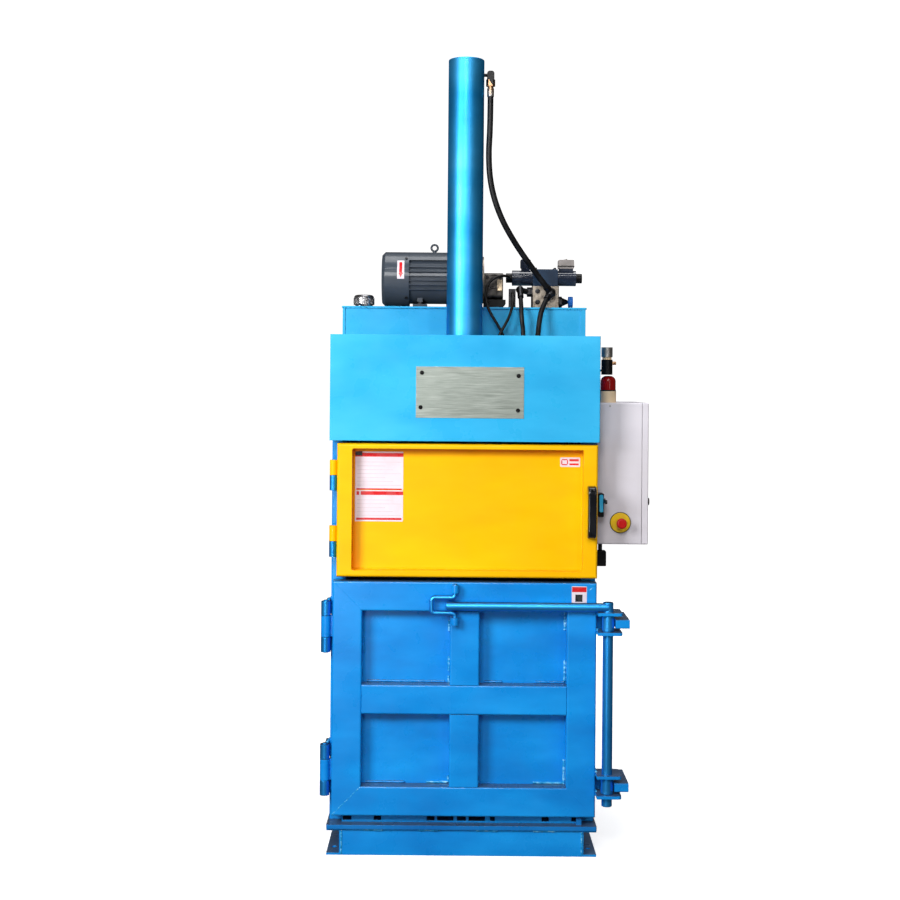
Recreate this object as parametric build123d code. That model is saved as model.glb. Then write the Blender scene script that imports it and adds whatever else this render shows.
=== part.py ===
from build123d import *
import math
import os

# A small upright recycling baler for card and film. A hydraulic cylinder on top pushes a
# platen down through a box of walls. Waste goes in at the upper door, and the finished
# bale comes out at the lower one.
# Sizes are millimetres. The origin is the middle of the four floor anchor holes, on the
# floor. X points right, Y to the back and Z up.

# Body shell
BODY_HALF = 372
BODY_FRONT = -276
BODY_REAR = 330
CHAMBER_HALF = 330
WALL = 5
POST_DEPTH = 60
TUBE_WALL = 4
TUBE_CORNER = 5

RIB_HEIGHTS = (300, 560, 820, 1080, 1320)
RIB_SIZE = 50

# Base
RAIL_HEIGHT = 74
RAIL_WEB_X = 340
RAIL_WEB = 6
SHELF_HALF = 376
SHELF_TOP = 86
SHELF_FRONT = -330
FLOOR_TOP = 108
FLOOR_FRONT = -300
GROOVE_BOTTOM = 91
ANCHOR_X = 358
ANCHOR_Y = 270
ANCHOR_RADIUS = 7

# Crown, which carries the cylinder
CROWN_BOTTOM = 1392
CROWN_TOP = 1412
CROWN_BEAM_BOTTOM = 1300

# Front cover over the crown
COVER_HALF = 375
COVER_BOTTOM = 1154
COVER_TOP = 1449
COVER_FRONT = -340
COVER_REAR = -262
SHEET = 3
COVER_SCREWS = (1300, 1410)

# Both doors
DOOR_FRONT = -330
DOOR_REAR = -280
FEED_LEFT = -354
FEED_RIGHT = 372
FEED_BOTTOM = 775
FEED_TOP = 1146
FEED_HINGE_X = -365
FEED_HINGE_Y = -314
FEED_HINGE_RADIUS = 10.5
DOOR_LEFT = -363
DOOR_RIGHT = 371
DOOR_BOTTOM = 111
DOOR_TOP = 763
DOOR_TUBE = 82
DOOR_TUBE_REAR = -286
DOOR_HINGE_X = -384
DOOR_HINGE_Y = -300
DOOR_HINGE_RADIUS = 13.5
MID_RAIL_BOTTOM = 394
MIDDLE_STILE_X = 5

# Latch of the lower door
LATCH_X = 401
LATCH_Y = -345
LATCH_RADIUS = 14.5
BAR_Y = -350
BAR_Z = 699
BAR_RADIUS = 12
BAR_END = -49
CATCH_X = -23
CATCH_Y = -347
CATCH_RADIUS = 6
CATCH_REACH = 65

# Cylinder and ram, drawn in
FLANGE_HOLES = [(-68, -68), (-68, 68), (68, -68), (68, 68)]
TUBE_RADIUS = 54
BORE_RADIUS = 45
ROD_RADIUS = 27.5
CYLINDER_TOP = 2288
CAP_BOTTOM = 2268
HEAD_BOTTOM = 1312
TUBE_BOTTOM = 1352
PLATEN_BOTTOM = 1165
RAM_TOP = 2262
RUNNING_FIT = 0.05
UPPER_PORT_Z = 2244
LOWER_PORT_Z = 1366

# Oil tank and the power pack on its lid
TANK_HALF = 376
TANK_FRONT = 116
LID_BOTTOM = 1546
LID_TOP = 1552
MOTOR_Y = 210
MOTOR_Z = 1642
VALVE_Y = 180
VALVE_Z = 1647

# Control box on the right wall
BOX_LEFT = 376
BOX_RIGHT = 522
BOX_FRONT = -256
BOX_REAR = 44
BOX_BOTTOM = 863
BOX_TOP = 1264
BOX_DOOR_X = 503
STOP_X = 443
STOP_Z = 925
LAMP_X = 409
LAMP_Y = -226
LOCK_Y = -228
LOCK_Z = 983

# Hose and cable routes, from one end to the other
MAIN_HOSE_RADIUS = 9
MAIN_HOSE = [
    (73, 0, 2180),
    (73, 0, 2090),
    (68, 2, 2000),
    (76, 8, 1910),
    (104, 22, 1825),
    (146, 42, 1752),
    (202, 72, 1676),
    (252, 103, 1616),
]
LOWER_HOSE_RADIUS = 8
LOWER_HOSE = [
    (254, 102, 1577),
    (238, 82, 1548),
    (229, 70, 1502),
    (225, 52, 1458),
    (213, 30, 1418),
    (182, 9, 1385),
    (136, 0, 1366),
    (90, 0, 1366),
]
RETURN_HOSE_RADIUS = 7
RETURN_HOSE = [
    (174, 106, 1582),
    (175, 84, 1554),
    (176, 72, 1514),
    (182, 78, 1474),
    (182, 78, 1444),
]
CABLE_RADIUS = 4.5
LONG_CABLE = [
    (140, 162, 1647),
    (140, 142, 1647),
    (128, 122, 1650),
    (106, 112, 1648),
    (80, 108, 1634),
    (67, 102, 1608),
    (65, 91, 1574),
    (78, 80, 1534),
    (104, 76, 1494),
    (123, 76, 1460),
    (123, 76, 1428),
]
SHORT_CABLE = [
    (150, 158, 1598),
    (150, 134, 1598),
    (151, 110, 1584),
    (149, 88, 1556),
    (138, 70, 1520),
    (121, 60, 1488),
    (104, 58, 1458),
    (104, 58, 1428),
]
FRONT_PORT = (268, 114, 1598)


def block(x0, x1, y0, y1, z0, z1):
    centre = Pos((x0 + x1) / 2, (y0 + y1) / 2, (z0 + z1) / 2)
    return centre * Box(x1 - x0, y1 - y0, z1 - z0)


def round_x(x0, x1, y, z, radius):
    return Pos((x0 + x1) / 2, y, z) * Rot(0, 90, 0) * Cylinder(radius, x1 - x0)


def round_y(x, y0, y1, z, radius):
    return Pos(x, (y0 + y1) / 2, z) * Rot(90, 0, 0) * Cylinder(radius, y1 - y0)


def round_z(x, y, z0, z1, radius):
    return Pos(x, y, (z0 + z1) / 2) * Cylinder(radius, z1 - z0)


def round_between(start, end, radius):
    axis = Vector(end) - Vector(start)
    return extrude(Plane(start, z_dir=axis) * Circle(radius), amount=axis.length)


def hexagon(origin, z_dir, across_flats, height):
    face = RegularPolygon(across_flats / 2, 6, major_radius=False)
    return extrude(Plane(origin, z_dir=z_dir) * face, amount=height)


def front_plate(points, y0, y1):
    """A plate with an outline in X and Z, from y0 back to y1."""
    face = Plane.XZ.offset(-y1) * Polygon(*points, align=None)
    return extrude(face, amount=y1 - y0, dir=(0, -1, 0))


def floor_plate(points, z0, z1):
    """A plate with an outline in X and Y, from z0 up to z1."""
    face = Plane.XY.offset(z0) * Polygon(*points, align=None)
    return extrude(face, amount=z1 - z0, dir=(0, 0, 1))


def square_tube(x0, x1, y0, y1, z0, z1, axis):
    """A square tube that runs along the axis, with rounded corners and open ends."""
    t = TUBE_WALL
    outer = block(x0, x1, y0, y1, z0, z1)
    outer = fillet(outer.edges().filter_by(axis), TUBE_CORNER)
    ix = 0 if axis == Axis.X else t
    iy = 0 if axis == Axis.Y else t
    iz = 0 if axis == Axis.Z else t
    return outer - block(x0 + ix, x1 - ix, y0 + iy, y1 - iy, z0 + iz, z1 - iz)


def save(shape, name):
    shape.label = name
    export_step(shape, f"parts/{name}.step")


# Base: two outward channels, two beams, a shelf plate and the grooved floor


def base_rail(side):
    inner = RAIL_WEB_X - RAIL_WEB
    xs = sorted((side * inner, side * RAIL_WEB_X))
    flange = sorted((side * inner, side * SHELF_HALF))
    front = SHELF_FRONT + 8
    rail = block(*xs, front, BODY_REAR, 0, RAIL_HEIGHT)
    rail += block(*flange, front, BODY_REAR, 0, RAIL_WEB)
    rail += block(*flange, front, BODY_REAR, RAIL_HEIGHT - RAIL_WEB, RAIL_HEIGHT)
    for y in (-ANCHOR_Y, ANCHOR_Y):
        rail -= round_z(side * ANCHOR_X, y, -1, RAIL_WEB + 1, ANCHOR_RADIUS)
    return rail


def base_beam(face_y, inward):
    half = RAIL_WEB_X - RAIL_WEB
    ys = sorted((face_y, face_y + inward * RAIL_WEB))
    lip = sorted((face_y, face_y + inward * 45))
    beam = block(-half, half, *ys, 0, RAIL_HEIGHT)
    beam += block(-half, half, *lip, 0, RAIL_WEB)
    beam += block(-half, half, *lip, RAIL_HEIGHT - RAIL_WEB, RAIL_HEIGHT)
    return beam


def base_frame():
    frame = base_rail(-1) + base_rail(1)
    return frame + base_beam(SHELF_FRONT + 8, 1) + base_beam(BODY_REAR, -1)


def shelf_plate():
    """The shelf over the base, with the small rest for the lower door's free corner."""
    plate = block(-SHELF_HALF, SHELF_HALF, SHELF_FRONT, BODY_REAR, RAIL_HEIGHT, SHELF_TOP)
    plate = fillet(plate.edges().filter_by(Axis.Z), 4)
    rest = block(320, 335, FLOOR_FRONT - 14, FLOOR_FRONT, SHELF_TOP, DOOR_BOTTOM - 3)
    rest = chamfer(rest.edges().filter_by(Axis.X).group_by(Axis.Z)[-1], 4)
    return plate + rest


def chamber_floor():
    half = CHAMBER_HALF + WALL
    floor = block(-half, half, FLOOR_FRONT, BODY_REAR - 30, SHELF_TOP, FLOOR_TOP)
    grooves = [(-320, 25), (-235, 21), (-86, 22), (-45, 46), (0, 25)]
    grooves += [(43, 46), (87, 14), (235, 20), (316, 16)]
    for x, width in grooves:
        floor -= block(
            x - width / 2,
            x + width / 2,
            FLOOR_FRONT - 1,
            BODY_REAR,
            GROOVE_BOTTOM,
            FLOOR_TOP + 1,
        )
    return floor


# Body: walls, posts, ribs and the crown


def side_wall(side):
    xs = sorted((side * CHAMBER_HALF, side * (CHAMBER_HALF + WALL)))
    return block(*xs, BODY_FRONT, BODY_REAR - 30, FLOOR_TOP, CROWN_BOTTOM)


def post(side, y0):
    xs = sorted((side * (CHAMBER_HALF + WALL), side * BODY_HALF))
    return square_tube(*xs, y0, y0 + POST_DEPTH, SHELF_TOP, CROWN_BOTTOM, Axis.Z)


def side_frame(side):
    """Front and rear post of one side with the ribs between them, outside the wall."""
    xs = sorted((side * (CHAMBER_HALF + WALL), side * BODY_HALF))
    frame = post(side, BODY_FRONT) + post(side, BODY_REAR - POST_DEPTH)
    for z in RIB_HEIGHTS:
        y0 = BODY_FRONT + POST_DEPTH
        y1 = BODY_REAR - POST_DEPTH
        frame += square_tube(*xs, y0, y1, z, z + RIB_SIZE, Axis.Y)
    return frame


def rear_wall():
    y = BODY_REAR - 30
    wall = block(-CHAMBER_HALF, CHAMBER_HALF, y - WALL, y, FLOOR_TOP, CROWN_BOTTOM)
    half = CHAMBER_HALF + WALL
    for z in RIB_HEIGHTS:
        wall += square_tube(-half, half, y, BODY_REAR, z, z + RIB_SIZE, Axis.X)
    return wall


def crown_frame():
    """The crown plate with its two beams and the header over the feed opening."""
    z0 = CROWN_BOTTOM
    z1 = CROWN_TOP
    crown = block(-BODY_HALF, BODY_HALF, BODY_FRONT, BODY_REAR, z0, z1)
    for y in (-92, 92):
        crown += block(-CHAMBER_HALF, CHAMBER_HALF, y - 8, y + 8, CROWN_BEAM_BOTTOM, z0)
    half = CHAMBER_HALF
    crown += square_tube(-half, half, BODY_FRONT, BODY_FRONT + 40, 1330, z0, Axis.X)
    crown -= round_z(0, 0, z0 - 1, z1 + 1, TUBE_RADIUS + 1)
    crown -= round_z(200, 22, z0 - 1, z1 + 1, 42)
    for x, y in FLANGE_HOLES:
        crown -= round_z(x, y, z0 - 1, z1 + 1, 8.5)
    return crown


def front_cover():
    outline = [
        (-COVER_HALF, COVER_REAR),
        (-COVER_HALF, COVER_FRONT),
        (COVER_HALF, COVER_FRONT),
        (COVER_HALF, COVER_REAR),
        (COVER_HALF - SHEET, COVER_REAR),
        (COVER_HALF - SHEET, COVER_FRONT + SHEET),
        (SHEET - COVER_HALF, COVER_FRONT + SHEET),
        (SHEET - COVER_HALF, COVER_REAR),
    ]
    cover = floor_plate(outline, COVER_BOTTOM, COVER_TOP)
    inner = COVER_HALF - SHEET
    front = COVER_FRONT + SHEET
    cover += block(-inner, inner, front, front + 22, COVER_TOP - SHEET, COVER_TOP)
    cover += block(-inner, inner, front, front + 22, COVER_BOTTOM, COVER_BOTTOM + SHEET)
    outer_edges = cover.edges().filter_by(Axis.Z).group_by(Axis.Y)[0]
    cover = fillet(outer_edges, 2.5)
    for z in COVER_SCREWS:
        cover -= round_x(-COVER_HALF - 1, COVER_HALF + 1, BODY_FRONT + 7, z, 3.3)
    return cover


def nameplate():
    plate = block(-136, 163, COVER_FRONT - 1.2, COVER_FRONT, 1219, 1361)
    return plate


RIVETS = [(-120, 1344), (148, 1337), (-123, 1248), (147, 1241)]


def nameplate_rivets():
    rivets = []
    front = COVER_FRONT - 1.2
    for x, z in RIVETS:
        head = round_y(x, front - 3, front, z, 6)
        rivets.append(fillet(head.edges().group_by(Axis.Y)[0], 1.8))
    return Compound(children=rivets)


# Cylinder


def cylinder_tube():
    """The barrel with its welded end cap and mounting flange."""
    tube = round_z(0, 0, TUBE_BOTTOM, CYLINDER_TOP, TUBE_RADIUS)
    tube = chamfer(tube.edges().group_by(Axis.Z)[-1], 1.5)
    flange = block(-85, 85, -85, 85, CROWN_TOP, CROWN_TOP + 20)
    tube += chamfer(flange.edges().filter_by(Axis.Z), 10)
    tube -= round_z(0, 0, TUBE_BOTTOM - 1, CAP_BOTTOM, BORE_RADIUS)
    tube -= round_x(BORE_RADIUS - 6, TUBE_RADIUS + 5, 0, LOWER_PORT_Z, 6)
    tube -= round_x(BORE_RADIUS - 6, TUBE_RADIUS + 5, 0, UPPER_PORT_Z, 5)
    for x, y in FLANGE_HOLES:
        tube -= round_z(x, y, CROWN_TOP - 1, CROWN_TOP + 21, 8.5)
    return tube


def cylinder_head():
    head = round_z(0, 0, HEAD_BOTTOM, CROWN_BOTTOM, 66)
    head -= round_z(0, 0, TUBE_BOTTOM, CROWN_BOTTOM + 1, TUBE_RADIUS)
    head -= round_z(0, 0, HEAD_BOTTOM - 1, CROWN_BOTTOM, ROD_RADIUS + RUNNING_FIT)
    head -= round_x(TUBE_RADIUS - 2, 80, 0, LOWER_PORT_Z, 6)
    return head


def hex_bolts():
    """All hexagon bolts: cylinder flange, motor feet and front cover."""
    bolts = []
    for x, y in FLANGE_HOLES:
        bolt = hexagon((x, y, CROWN_TOP + 20), (0, 0, 1), 24, 10)
        bolt += round_z(x, y, CROWN_BOTTOM - 16, CROWN_TOP + 20, 8)
        bolt += hexagon((x, y, CROWN_BOTTOM - 13), (0, 0, 1), 24, 13)
        bolts.append(bolt)
    for x in (-138, -34):
        for dy in (-60, 60):
            bolts.append(hexagon((x, MOTOR_Y + dy, LID_TOP + 9), (0, 0, 1), 16, 7))
    for side in (-1, 1):
        for z in COVER_SCREWS:
            head = hexagon((side * COVER_HALF, BODY_FRONT + 7, z), (side, 0, 0), 10, 4)
            shank = sorted((side * COVER_HALF, side * BODY_HALF))
            bolts.append(head + round_x(*shank, BODY_FRONT + 7, z, 3))
    return Compound(children=bolts)


def upper_port():
    """The elbow at the cylinder's top: stub, elbow block, nut and hose ferrule."""
    x, y, end = MAIN_HOSE[0]
    z = UPPER_PORT_Z
    elbow = round_x(BORE_RADIUS + 4, x - 11, 0, z, 5)
    corner = block(x - 11, x + 11, -11, 11, z - 13, z + 12)
    elbow += fillet(corner.edges().filter_by(Axis.Y).group_by(Axis.Z)[-1], 8)
    elbow += hexagon((x, y, z - 34), (0, 0, 1), 24, 21)
    elbow += round_z(x, y, end + 24, z - 34, 8.5)
    return elbow + round_z(x, y, end, end + 24, 10.5)


def lower_port():
    x, y, z = LOWER_HOSE[-1]
    return hexagon((66, y, z), (1, 0, 0), 24, 12) + round_x(78, x, y, z, 10)


# Ram


def piston():
    disc = round_z(0, 0, RAM_TOP - 50, RAM_TOP, BORE_RADIUS - RUNNING_FIT)
    for z in (RAM_TOP - 36, RAM_TOP - 16):
        ring = round_z(0, 0, z, z + 4, BORE_RADIUS)
        disc -= ring - round_z(0, 0, z, z + 4, BORE_RADIUS - 2)
    return disc


def piston_rod():
    return round_z(0, 0, PLATEN_BOTTOM + 110, RAM_TOP - 50, ROD_RADIUS)


def platen_plate():
    plate = block(-318, 318, -252, 285, PLATEN_BOTTOM, PLATEN_BOTTOM + 12)
    return chamfer(plate.edges().group_by(Axis.Z)[0], 4)


def platen_frame():
    """Ribs welded on the platen plate, with the flange and collar that hold the rod."""
    z0 = PLATEN_BOTTOM + 12
    z1 = PLATEN_BOTTOM + 92
    frame = block(-312, 312, -246, 279, z0, z1) - block(-302, 302, -236, 269, z0, z1)
    for x in (-150, -60, 60, 150):
        frame += block(x - 5, x + 5, -236, 269, z0, z1)
    for y in (-60, 60):
        frame += block(-302, 302, y - 5, y + 5, z0, z1)
    frame += block(-90, 90, -90, 90, z1, z1 + 18)
    collar = round_z(0, 0, z1 + 18, z1 + 34, 42)
    return frame + collar - round_z(0, 0, z1 + 18, z1 + 35, ROD_RADIUS)


# Oil tank and the power pack


def oil_tank():
    t = 4
    tank = block(-TANK_HALF, TANK_HALF, TANK_FRONT, BODY_REAR, CROWN_TOP, LID_BOTTOM)
    tank -= block(
        t - TANK_HALF, TANK_HALF - t, TANK_FRONT + t, BODY_REAR - t, CROWN_TOP + t, LID_BOTTOM + 1
    )
    for x0, x1 in ((-TANK_HALF, 8 - TANK_HALF), (TANK_HALF - 15, TANK_HALF)):
        tank += block(x0, x1, TANK_FRONT - 3, TANK_FRONT, CROWN_TOP, LID_BOTTOM)
    return tank


def tank_lid():
    lid = block(-TANK_HALF - 3, TANK_HALF + 3, TANK_FRONT - 6, BODY_REAR + 3, LID_BOTTOM, LID_TOP)
    return fillet(lid.edges().filter_by(Axis.Z), 4)


def breather_cap():
    x, y = -313, 160
    cap = round_z(x, y, LID_TOP + 6, LID_TOP + 37, 33)
    cap = fillet(cap.edges().group_by(Axis.Z)[-1], 11)
    neck = round_z(x, y, LID_TOP, LID_TOP + 6, 27)
    return cap + neck


MOTOR_LEFT = -172
MOTOR_RIGHT = 0
FIN_HEIGHTS = (34, 20, 6, -8, -22, -36)


def motor_body():
    """The finned motor with its feet, lifting eye and terminal box."""
    shell = round_x(MOTOR_LEFT, MOTOR_RIGHT, MOTOR_Y, MOTOR_Z, 77)
    y0 = MOTOR_Y - 90
    y1 = MOTOR_Y + 90
    pads = block(MOTOR_LEFT, MOTOR_RIGHT, y0, y1, MOTOR_Z + 56, MOTOR_Z + 90)
    for dz in FIN_HEIGHTS:
        z = MOTOR_Z + dz
        pads += block(MOTOR_LEFT, MOTOR_RIGHT, y0, y1, z - 1.8, z + 1.8)
    envelope = round_x(MOTOR_LEFT, MOTOR_RIGHT, MOTOR_Y, MOTOR_Z, 86)
    body = shell + (pads & envelope)
    body += round_x(MOTOR_RIGHT, MOTOR_RIGHT + 14, MOTOR_Y, MOTOR_Z, 84)
    for x0 in (-160, -56):
        x1 = x0 + 44
        foot = block(x0, x1, MOTOR_Y - 74, MOTOR_Y + 74, LID_TOP, LID_TOP + 9)
        top = MOTOR_Z - 56
        foot += block(x0 + 14, x0 + 30, MOTOR_Y - 48, MOTOR_Y + 48, LID_TOP + 9, top)
        body += foot
    body += lifting_eye() + terminal_box()
    return body - round_x(-173, 15, MOTOR_Y, MOTOR_Z, 12 + RUNNING_FIT)


def lifting_eye():
    z = MOTOR_Z + 100
    ring = Pos(-94, MOTOR_Y, z) * Rot(90, 0, 0) * Torus(10.2, 3.4)
    return ring + round_z(-94, MOTOR_Y, MOTOR_Z + 80, z - 8, 6)


def terminal_box():
    z0 = MOTOR_Z - 40
    box = block(-150, -50, MOTOR_Y + 82, MOTOR_Y + 122, z0, z0 + 88)
    box = fillet(box.edges().filter_by(Axis.Y), 6)
    return box + block(-140, -60, MOTOR_Y + 60, MOTOR_Y + 82, z0 + 8, z0 + 80)


def fan_cover():
    left = -258
    cover = round_x(left, MOTOR_LEFT, MOTOR_Y, MOTOR_Z, 86)
    cover = chamfer(cover.edges().group_by(Axis.X)[0], 10)
    inner = round_x(left + 2, MOTOR_LEFT + 1, MOTOR_Y, MOTOR_Z, 84)
    inner = chamfer(inner.edges().group_by(Axis.X)[0], 10)
    cover -= inner
    for radius, count in ((24, 8), (42, 14), (60, 20)):
        for i in range(count):
            turn = 2 * math.pi * i / count
            y = MOTOR_Y + radius * math.cos(turn)
            z = MOTOR_Z + radius * math.sin(turn)
            cover -= round_x(left - 1, left + 3, y, z, 5.5)
    return cover


def motor_shaft():
    return round_x(-242, 26, MOTOR_Y, MOTOR_Z, 12)


def motor_fan():
    fan = round_x(-240, -202, MOTOR_Y, MOTOR_Z, 22)
    fan += round_x(-208, -202, MOTOR_Y, MOTOR_Z, 70)
    blade = block(-240, -208, MOTOR_Y - 2, MOTOR_Y + 2, MOTOR_Z + 18, MOTOR_Z + 70)
    hub = Axis((0, MOTOR_Y, MOTOR_Z), (1, 0, 0))
    for i in range(7):
        fan += blade.rotate(hub, 360 * i / 7)
    fan -= round_x(-243, -196, MOTOR_Y, MOTOR_Z, 12)
    return fan


def bell_housing():
    bell = round_x(14, 62, MOTOR_Y, MOTOR_Z, 74)
    bell -= round_x(13, 54, MOTOR_Y, MOTOR_Z, 62)
    bell -= round_x(53, 63, MOTOR_Y, MOTOR_Z, 20)
    bell += block(20, 56, MOTOR_Y - 60, MOTOR_Y + 60, LID_TOP, LID_TOP + 8)
    bell += block(30, 46, MOTOR_Y - 40, MOTOR_Y + 40, LID_TOP + 8, MOTOR_Z - 70)
    return bell


def shaft_coupling():
    return round_x(26, 50, MOTOR_Y, MOTOR_Z, 26) + round_x(50, 74, MOTOR_Y, MOTOR_Z, 8)


def gear_pump():
    """The pump with the foot that it stands on."""
    body = block(62, 122, MOTOR_Y - 46, MOTOR_Y + 46, MOTOR_Z - 64, MOTOR_Z + 20)
    body = fillet(body.edges().filter_by(Axis.X), 14)
    body -= round_x(61, 75, MOTOR_Y, MOTOR_Z, 8 + RUNNING_FIT)
    body += round_y(92, MOTOR_Y - 52, MOTOR_Y - 46, MOTOR_Z - 14, 15)
    outline = [
        (66, LID_TOP),
        (118, LID_TOP),
        (130, LID_TOP + 12),
        (130, LID_TOP + 26),
        (62, LID_TOP + 26),
        (62, LID_TOP + 8),
    ]
    return body + front_plate(outline, MOTOR_Y - 50, MOTOR_Y + 50)


def manifold_block():
    blockshape = block(212, 295, VALVE_Y - 40, VALVE_Y + 40, LID_TOP, 1620)
    return chamfer(blockshape.edges().filter_by(Axis.Z), 2)


def valve_body():
    body = block(214, 292, VALVE_Y - 27, VALVE_Y + 27, 1620, 1674)
    return fillet(body.edges().filter_by(Axis.X), 3)


def solenoid(side):
    """A coil on the valve's end, with its end nut and its cable plug on top."""
    near, far = (214, 150) if side < 0 else (292, 350)
    coil = round_x(*sorted((near, far)), VALVE_Y, VALVE_Z, 24)
    coil += round_x(*sorted((far, far + side * 19)), VALVE_Y, VALVE_Z, 15)
    x0, x1 = (176, 208) if side < 0 else (294, 344)
    plug = block(x0, x1, VALVE_Y - 14, VALVE_Y + 14, VALVE_Z + 30, VALVE_Z + 58)
    plug = fillet(plug.edges().filter_by(Axis.Y), 4)
    neck = block(x0 + 3, x1 - 3, VALVE_Y - 11, VALVE_Y + 11, VALVE_Z + 15, VALVE_Z + 30)
    return coil + plug + neck


def solenoids():
    x, y, z = LONG_CABLE[0]
    left = solenoid(-1) + round_y(x, y, VALVE_Y, z, 6.5)
    return Compound(children=[left, solenoid(1)])


RELIEF_Z = 1573


def relief_valve():
    valve = hexagon((295, VALVE_Y, RELIEF_Z), (1, 0, 0), 30, 12)
    valve += Pos(307, VALVE_Y, RELIEF_Z) * Rot(0, 90, 0) * Cone(
        14, 6, 18, align=(Align.CENTER, Align.CENTER, Align.MIN)
    )
    return valve - round_x(312, 330, VALVE_Y, RELIEF_Z, 4 + RUNNING_FIT)


def relief_knob():
    knob = round_x(327, 341, VALVE_Y, RELIEF_Z, 17)
    for i in range(16):
        turn = 2 * math.pi * i / 16
        y = VALVE_Y + 18 * math.cos(turn)
        z = RELIEF_Z + 18 * math.sin(turn)
        knob -= round_x(326, 342, y, z, 2)
    return knob + round_x(314, 327, VALVE_Y, RELIEF_Z, 4)


def ferrule(end, inner, length, radius):
    """The crimped sleeve on a hose end, in line with the hose's first run."""
    along = (Vector(end) - Vector(inner)).normalized()
    return round_between(end, Vector(end) + along * length, radius)


def front_tee():
    x, y, z = FRONT_PORT
    tee = hexagon((x, VALVE_Y - 40, z), (0, -1, 0), 30, 14)
    tee += Pos(x, y, z) * Sphere(15)
    tee += ferrule(MAIN_HOSE[-1], MAIN_HOSE[-2], 26, 11)
    return tee + ferrule(LOWER_HOSE[0], LOWER_HOSE[1], 26, 10.5)


def return_elbow():
    elbow = hexagon((212, 158, 1602), (-1, 0, 0), 26, 16)
    elbow += round_between((200, 158, 1602), (172, 130, 1607), 9)
    elbow += Pos(172, 130, 1607) * Sphere(12)
    return elbow + ferrule(RETURN_HOSE[0], RETURN_HOSE[1], 40, 9.5)


def tank_port():
    x, y, z = RETURN_HOSE[-1]
    port = hexagon((x, TANK_FRONT, z - 18), (0, -1, 0), 24, 12)
    port += block(x - 10, x + 10, y - 10, TANK_FRONT - 12, z - 30, z - 9)
    return port + round_z(x, y, z - 9, z, 9)


def cable_gland(route):
    x, y, z = route[-1]
    gland = hexagon((x, y, CROWN_TOP), (0, 0, 1), 16, 9)
    return gland + round_z(x, y, CROWN_TOP + 9, z, 6.5)


def lead_clamp():
    """The black clamp on the lid from which the short cable starts."""
    clamp = block(139, 161, 158, 164, LID_TOP, 1612)
    return clamp + block(139, 161, 158, 200, LID_TOP, LID_TOP + 5)


def hose_fittings():
    pieces = [upper_port(), lower_port(), front_tee(), return_elbow(), tank_port()]
    pieces += [cable_gland(LONG_CABLE), cable_gland(SHORT_CABLE), lead_clamp()]
    return Compound(children=pieces)


# Hoses and cables


def corner_radii(points):
    radii = []
    for a, b, c in zip(points, points[1:], points[2:]):
        run_in = Vector(b) - Vector(a)
        run_out = Vector(c) - Vector(b)
        turn = math.radians(run_in.get_angle(run_out))
        radii.append(0.45 * min(run_in.length, run_out.length) / math.tan(turn / 2))
    return radii


def cord(points, radius, name):
    radii = corner_radii(points)
    path = FilletPolyline(*points, radius=radii)
    start = Plane(points[0], z_dir=Vector(points[1]) - Vector(points[0]))
    tube = sweep(start * Circle(radius), path=path)
    expected = math.pi * radius**2 * path.length
    print(name, "length", round(path.length), "volume share", round(tube.volume / expected, 4))
    print("  radii", [round(r) for r in radii])
    return tube


# Control box and the small electrical pieces


def control_box():
    """The cabinet, on four spacers at the right post and ribs."""
    t = 2
    box = block(BOX_LEFT, BOX_DOOR_X, BOX_FRONT, BOX_REAR, BOX_BOTTOM, BOX_TOP)
    box = fillet(box.edges().filter_by(Axis.X), 4)
    inner_y = (BOX_FRONT + t, BOX_REAR - t)
    box -= block(BOX_LEFT + t, BOX_DOOR_X + 1, *inner_y, BOX_BOTTOM + t, BOX_TOP - t)
    for z in (RIB_HEIGHTS[3] + 10, 900):
        box += block(BODY_HALF, BOX_LEFT, BODY_FRONT + 24, BODY_FRONT + 56, z, z + 30)
    box += block(BODY_HALF, BOX_LEFT, BOX_REAR - 40, BOX_REAR - 8, RIB_HEIGHTS[3] + 10, 1120)
    return box - round_y(STOP_X, BOX_FRONT - 1, BOX_FRONT + 3, STOP_Z, 11.2)


def control_box_door():
    t = 2
    x0 = BOX_DOOR_X + 1
    door = block(x0, BOX_RIGHT, BOX_FRONT, BOX_REAR, BOX_BOTTOM, BOX_TOP)
    door = fillet(door.edges().filter_by(Axis.X), 4)
    door = fillet(door.edges().group_by(Axis.X)[-1], 3)
    inner_y = (BOX_FRONT + t, BOX_REAR - t)
    door -= block(x0 - 1, BOX_RIGHT - t, *inner_y, BOX_BOTTOM + t, BOX_TOP - t)
    return door - round_x(BOX_RIGHT - 3, BOX_RIGHT + 1, LOCK_Y, LOCK_Z, 9)


def box_lock():
    lock = round_x(BOX_RIGHT - 12, BOX_RIGHT + 1, LOCK_Y, LOCK_Z, 8.95)
    lock += round_x(BOX_RIGHT + 1, BOX_RIGHT + 6, LOCK_Y, LOCK_Z, 10)
    lock -= block(BOX_RIGHT + 3, BOX_RIGHT + 7, LOCK_Y - 1.5, LOCK_Y + 1.5, LOCK_Z - 7, LOCK_Z + 7)
    return lock


def stop_collar():
    collar = round_y(STOP_X, BOX_FRONT - 8, BOX_FRONT, STOP_Z, 28)
    collar = chamfer(collar.edges().group_by(Axis.Y)[0], 2)
    collar += round_y(STOP_X, BOX_FRONT, BOX_FRONT + 30, STOP_Z, 11)
    return collar - round_y(STOP_X, BOX_FRONT - 9, BOX_FRONT + 31, STOP_Z, 8)


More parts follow.
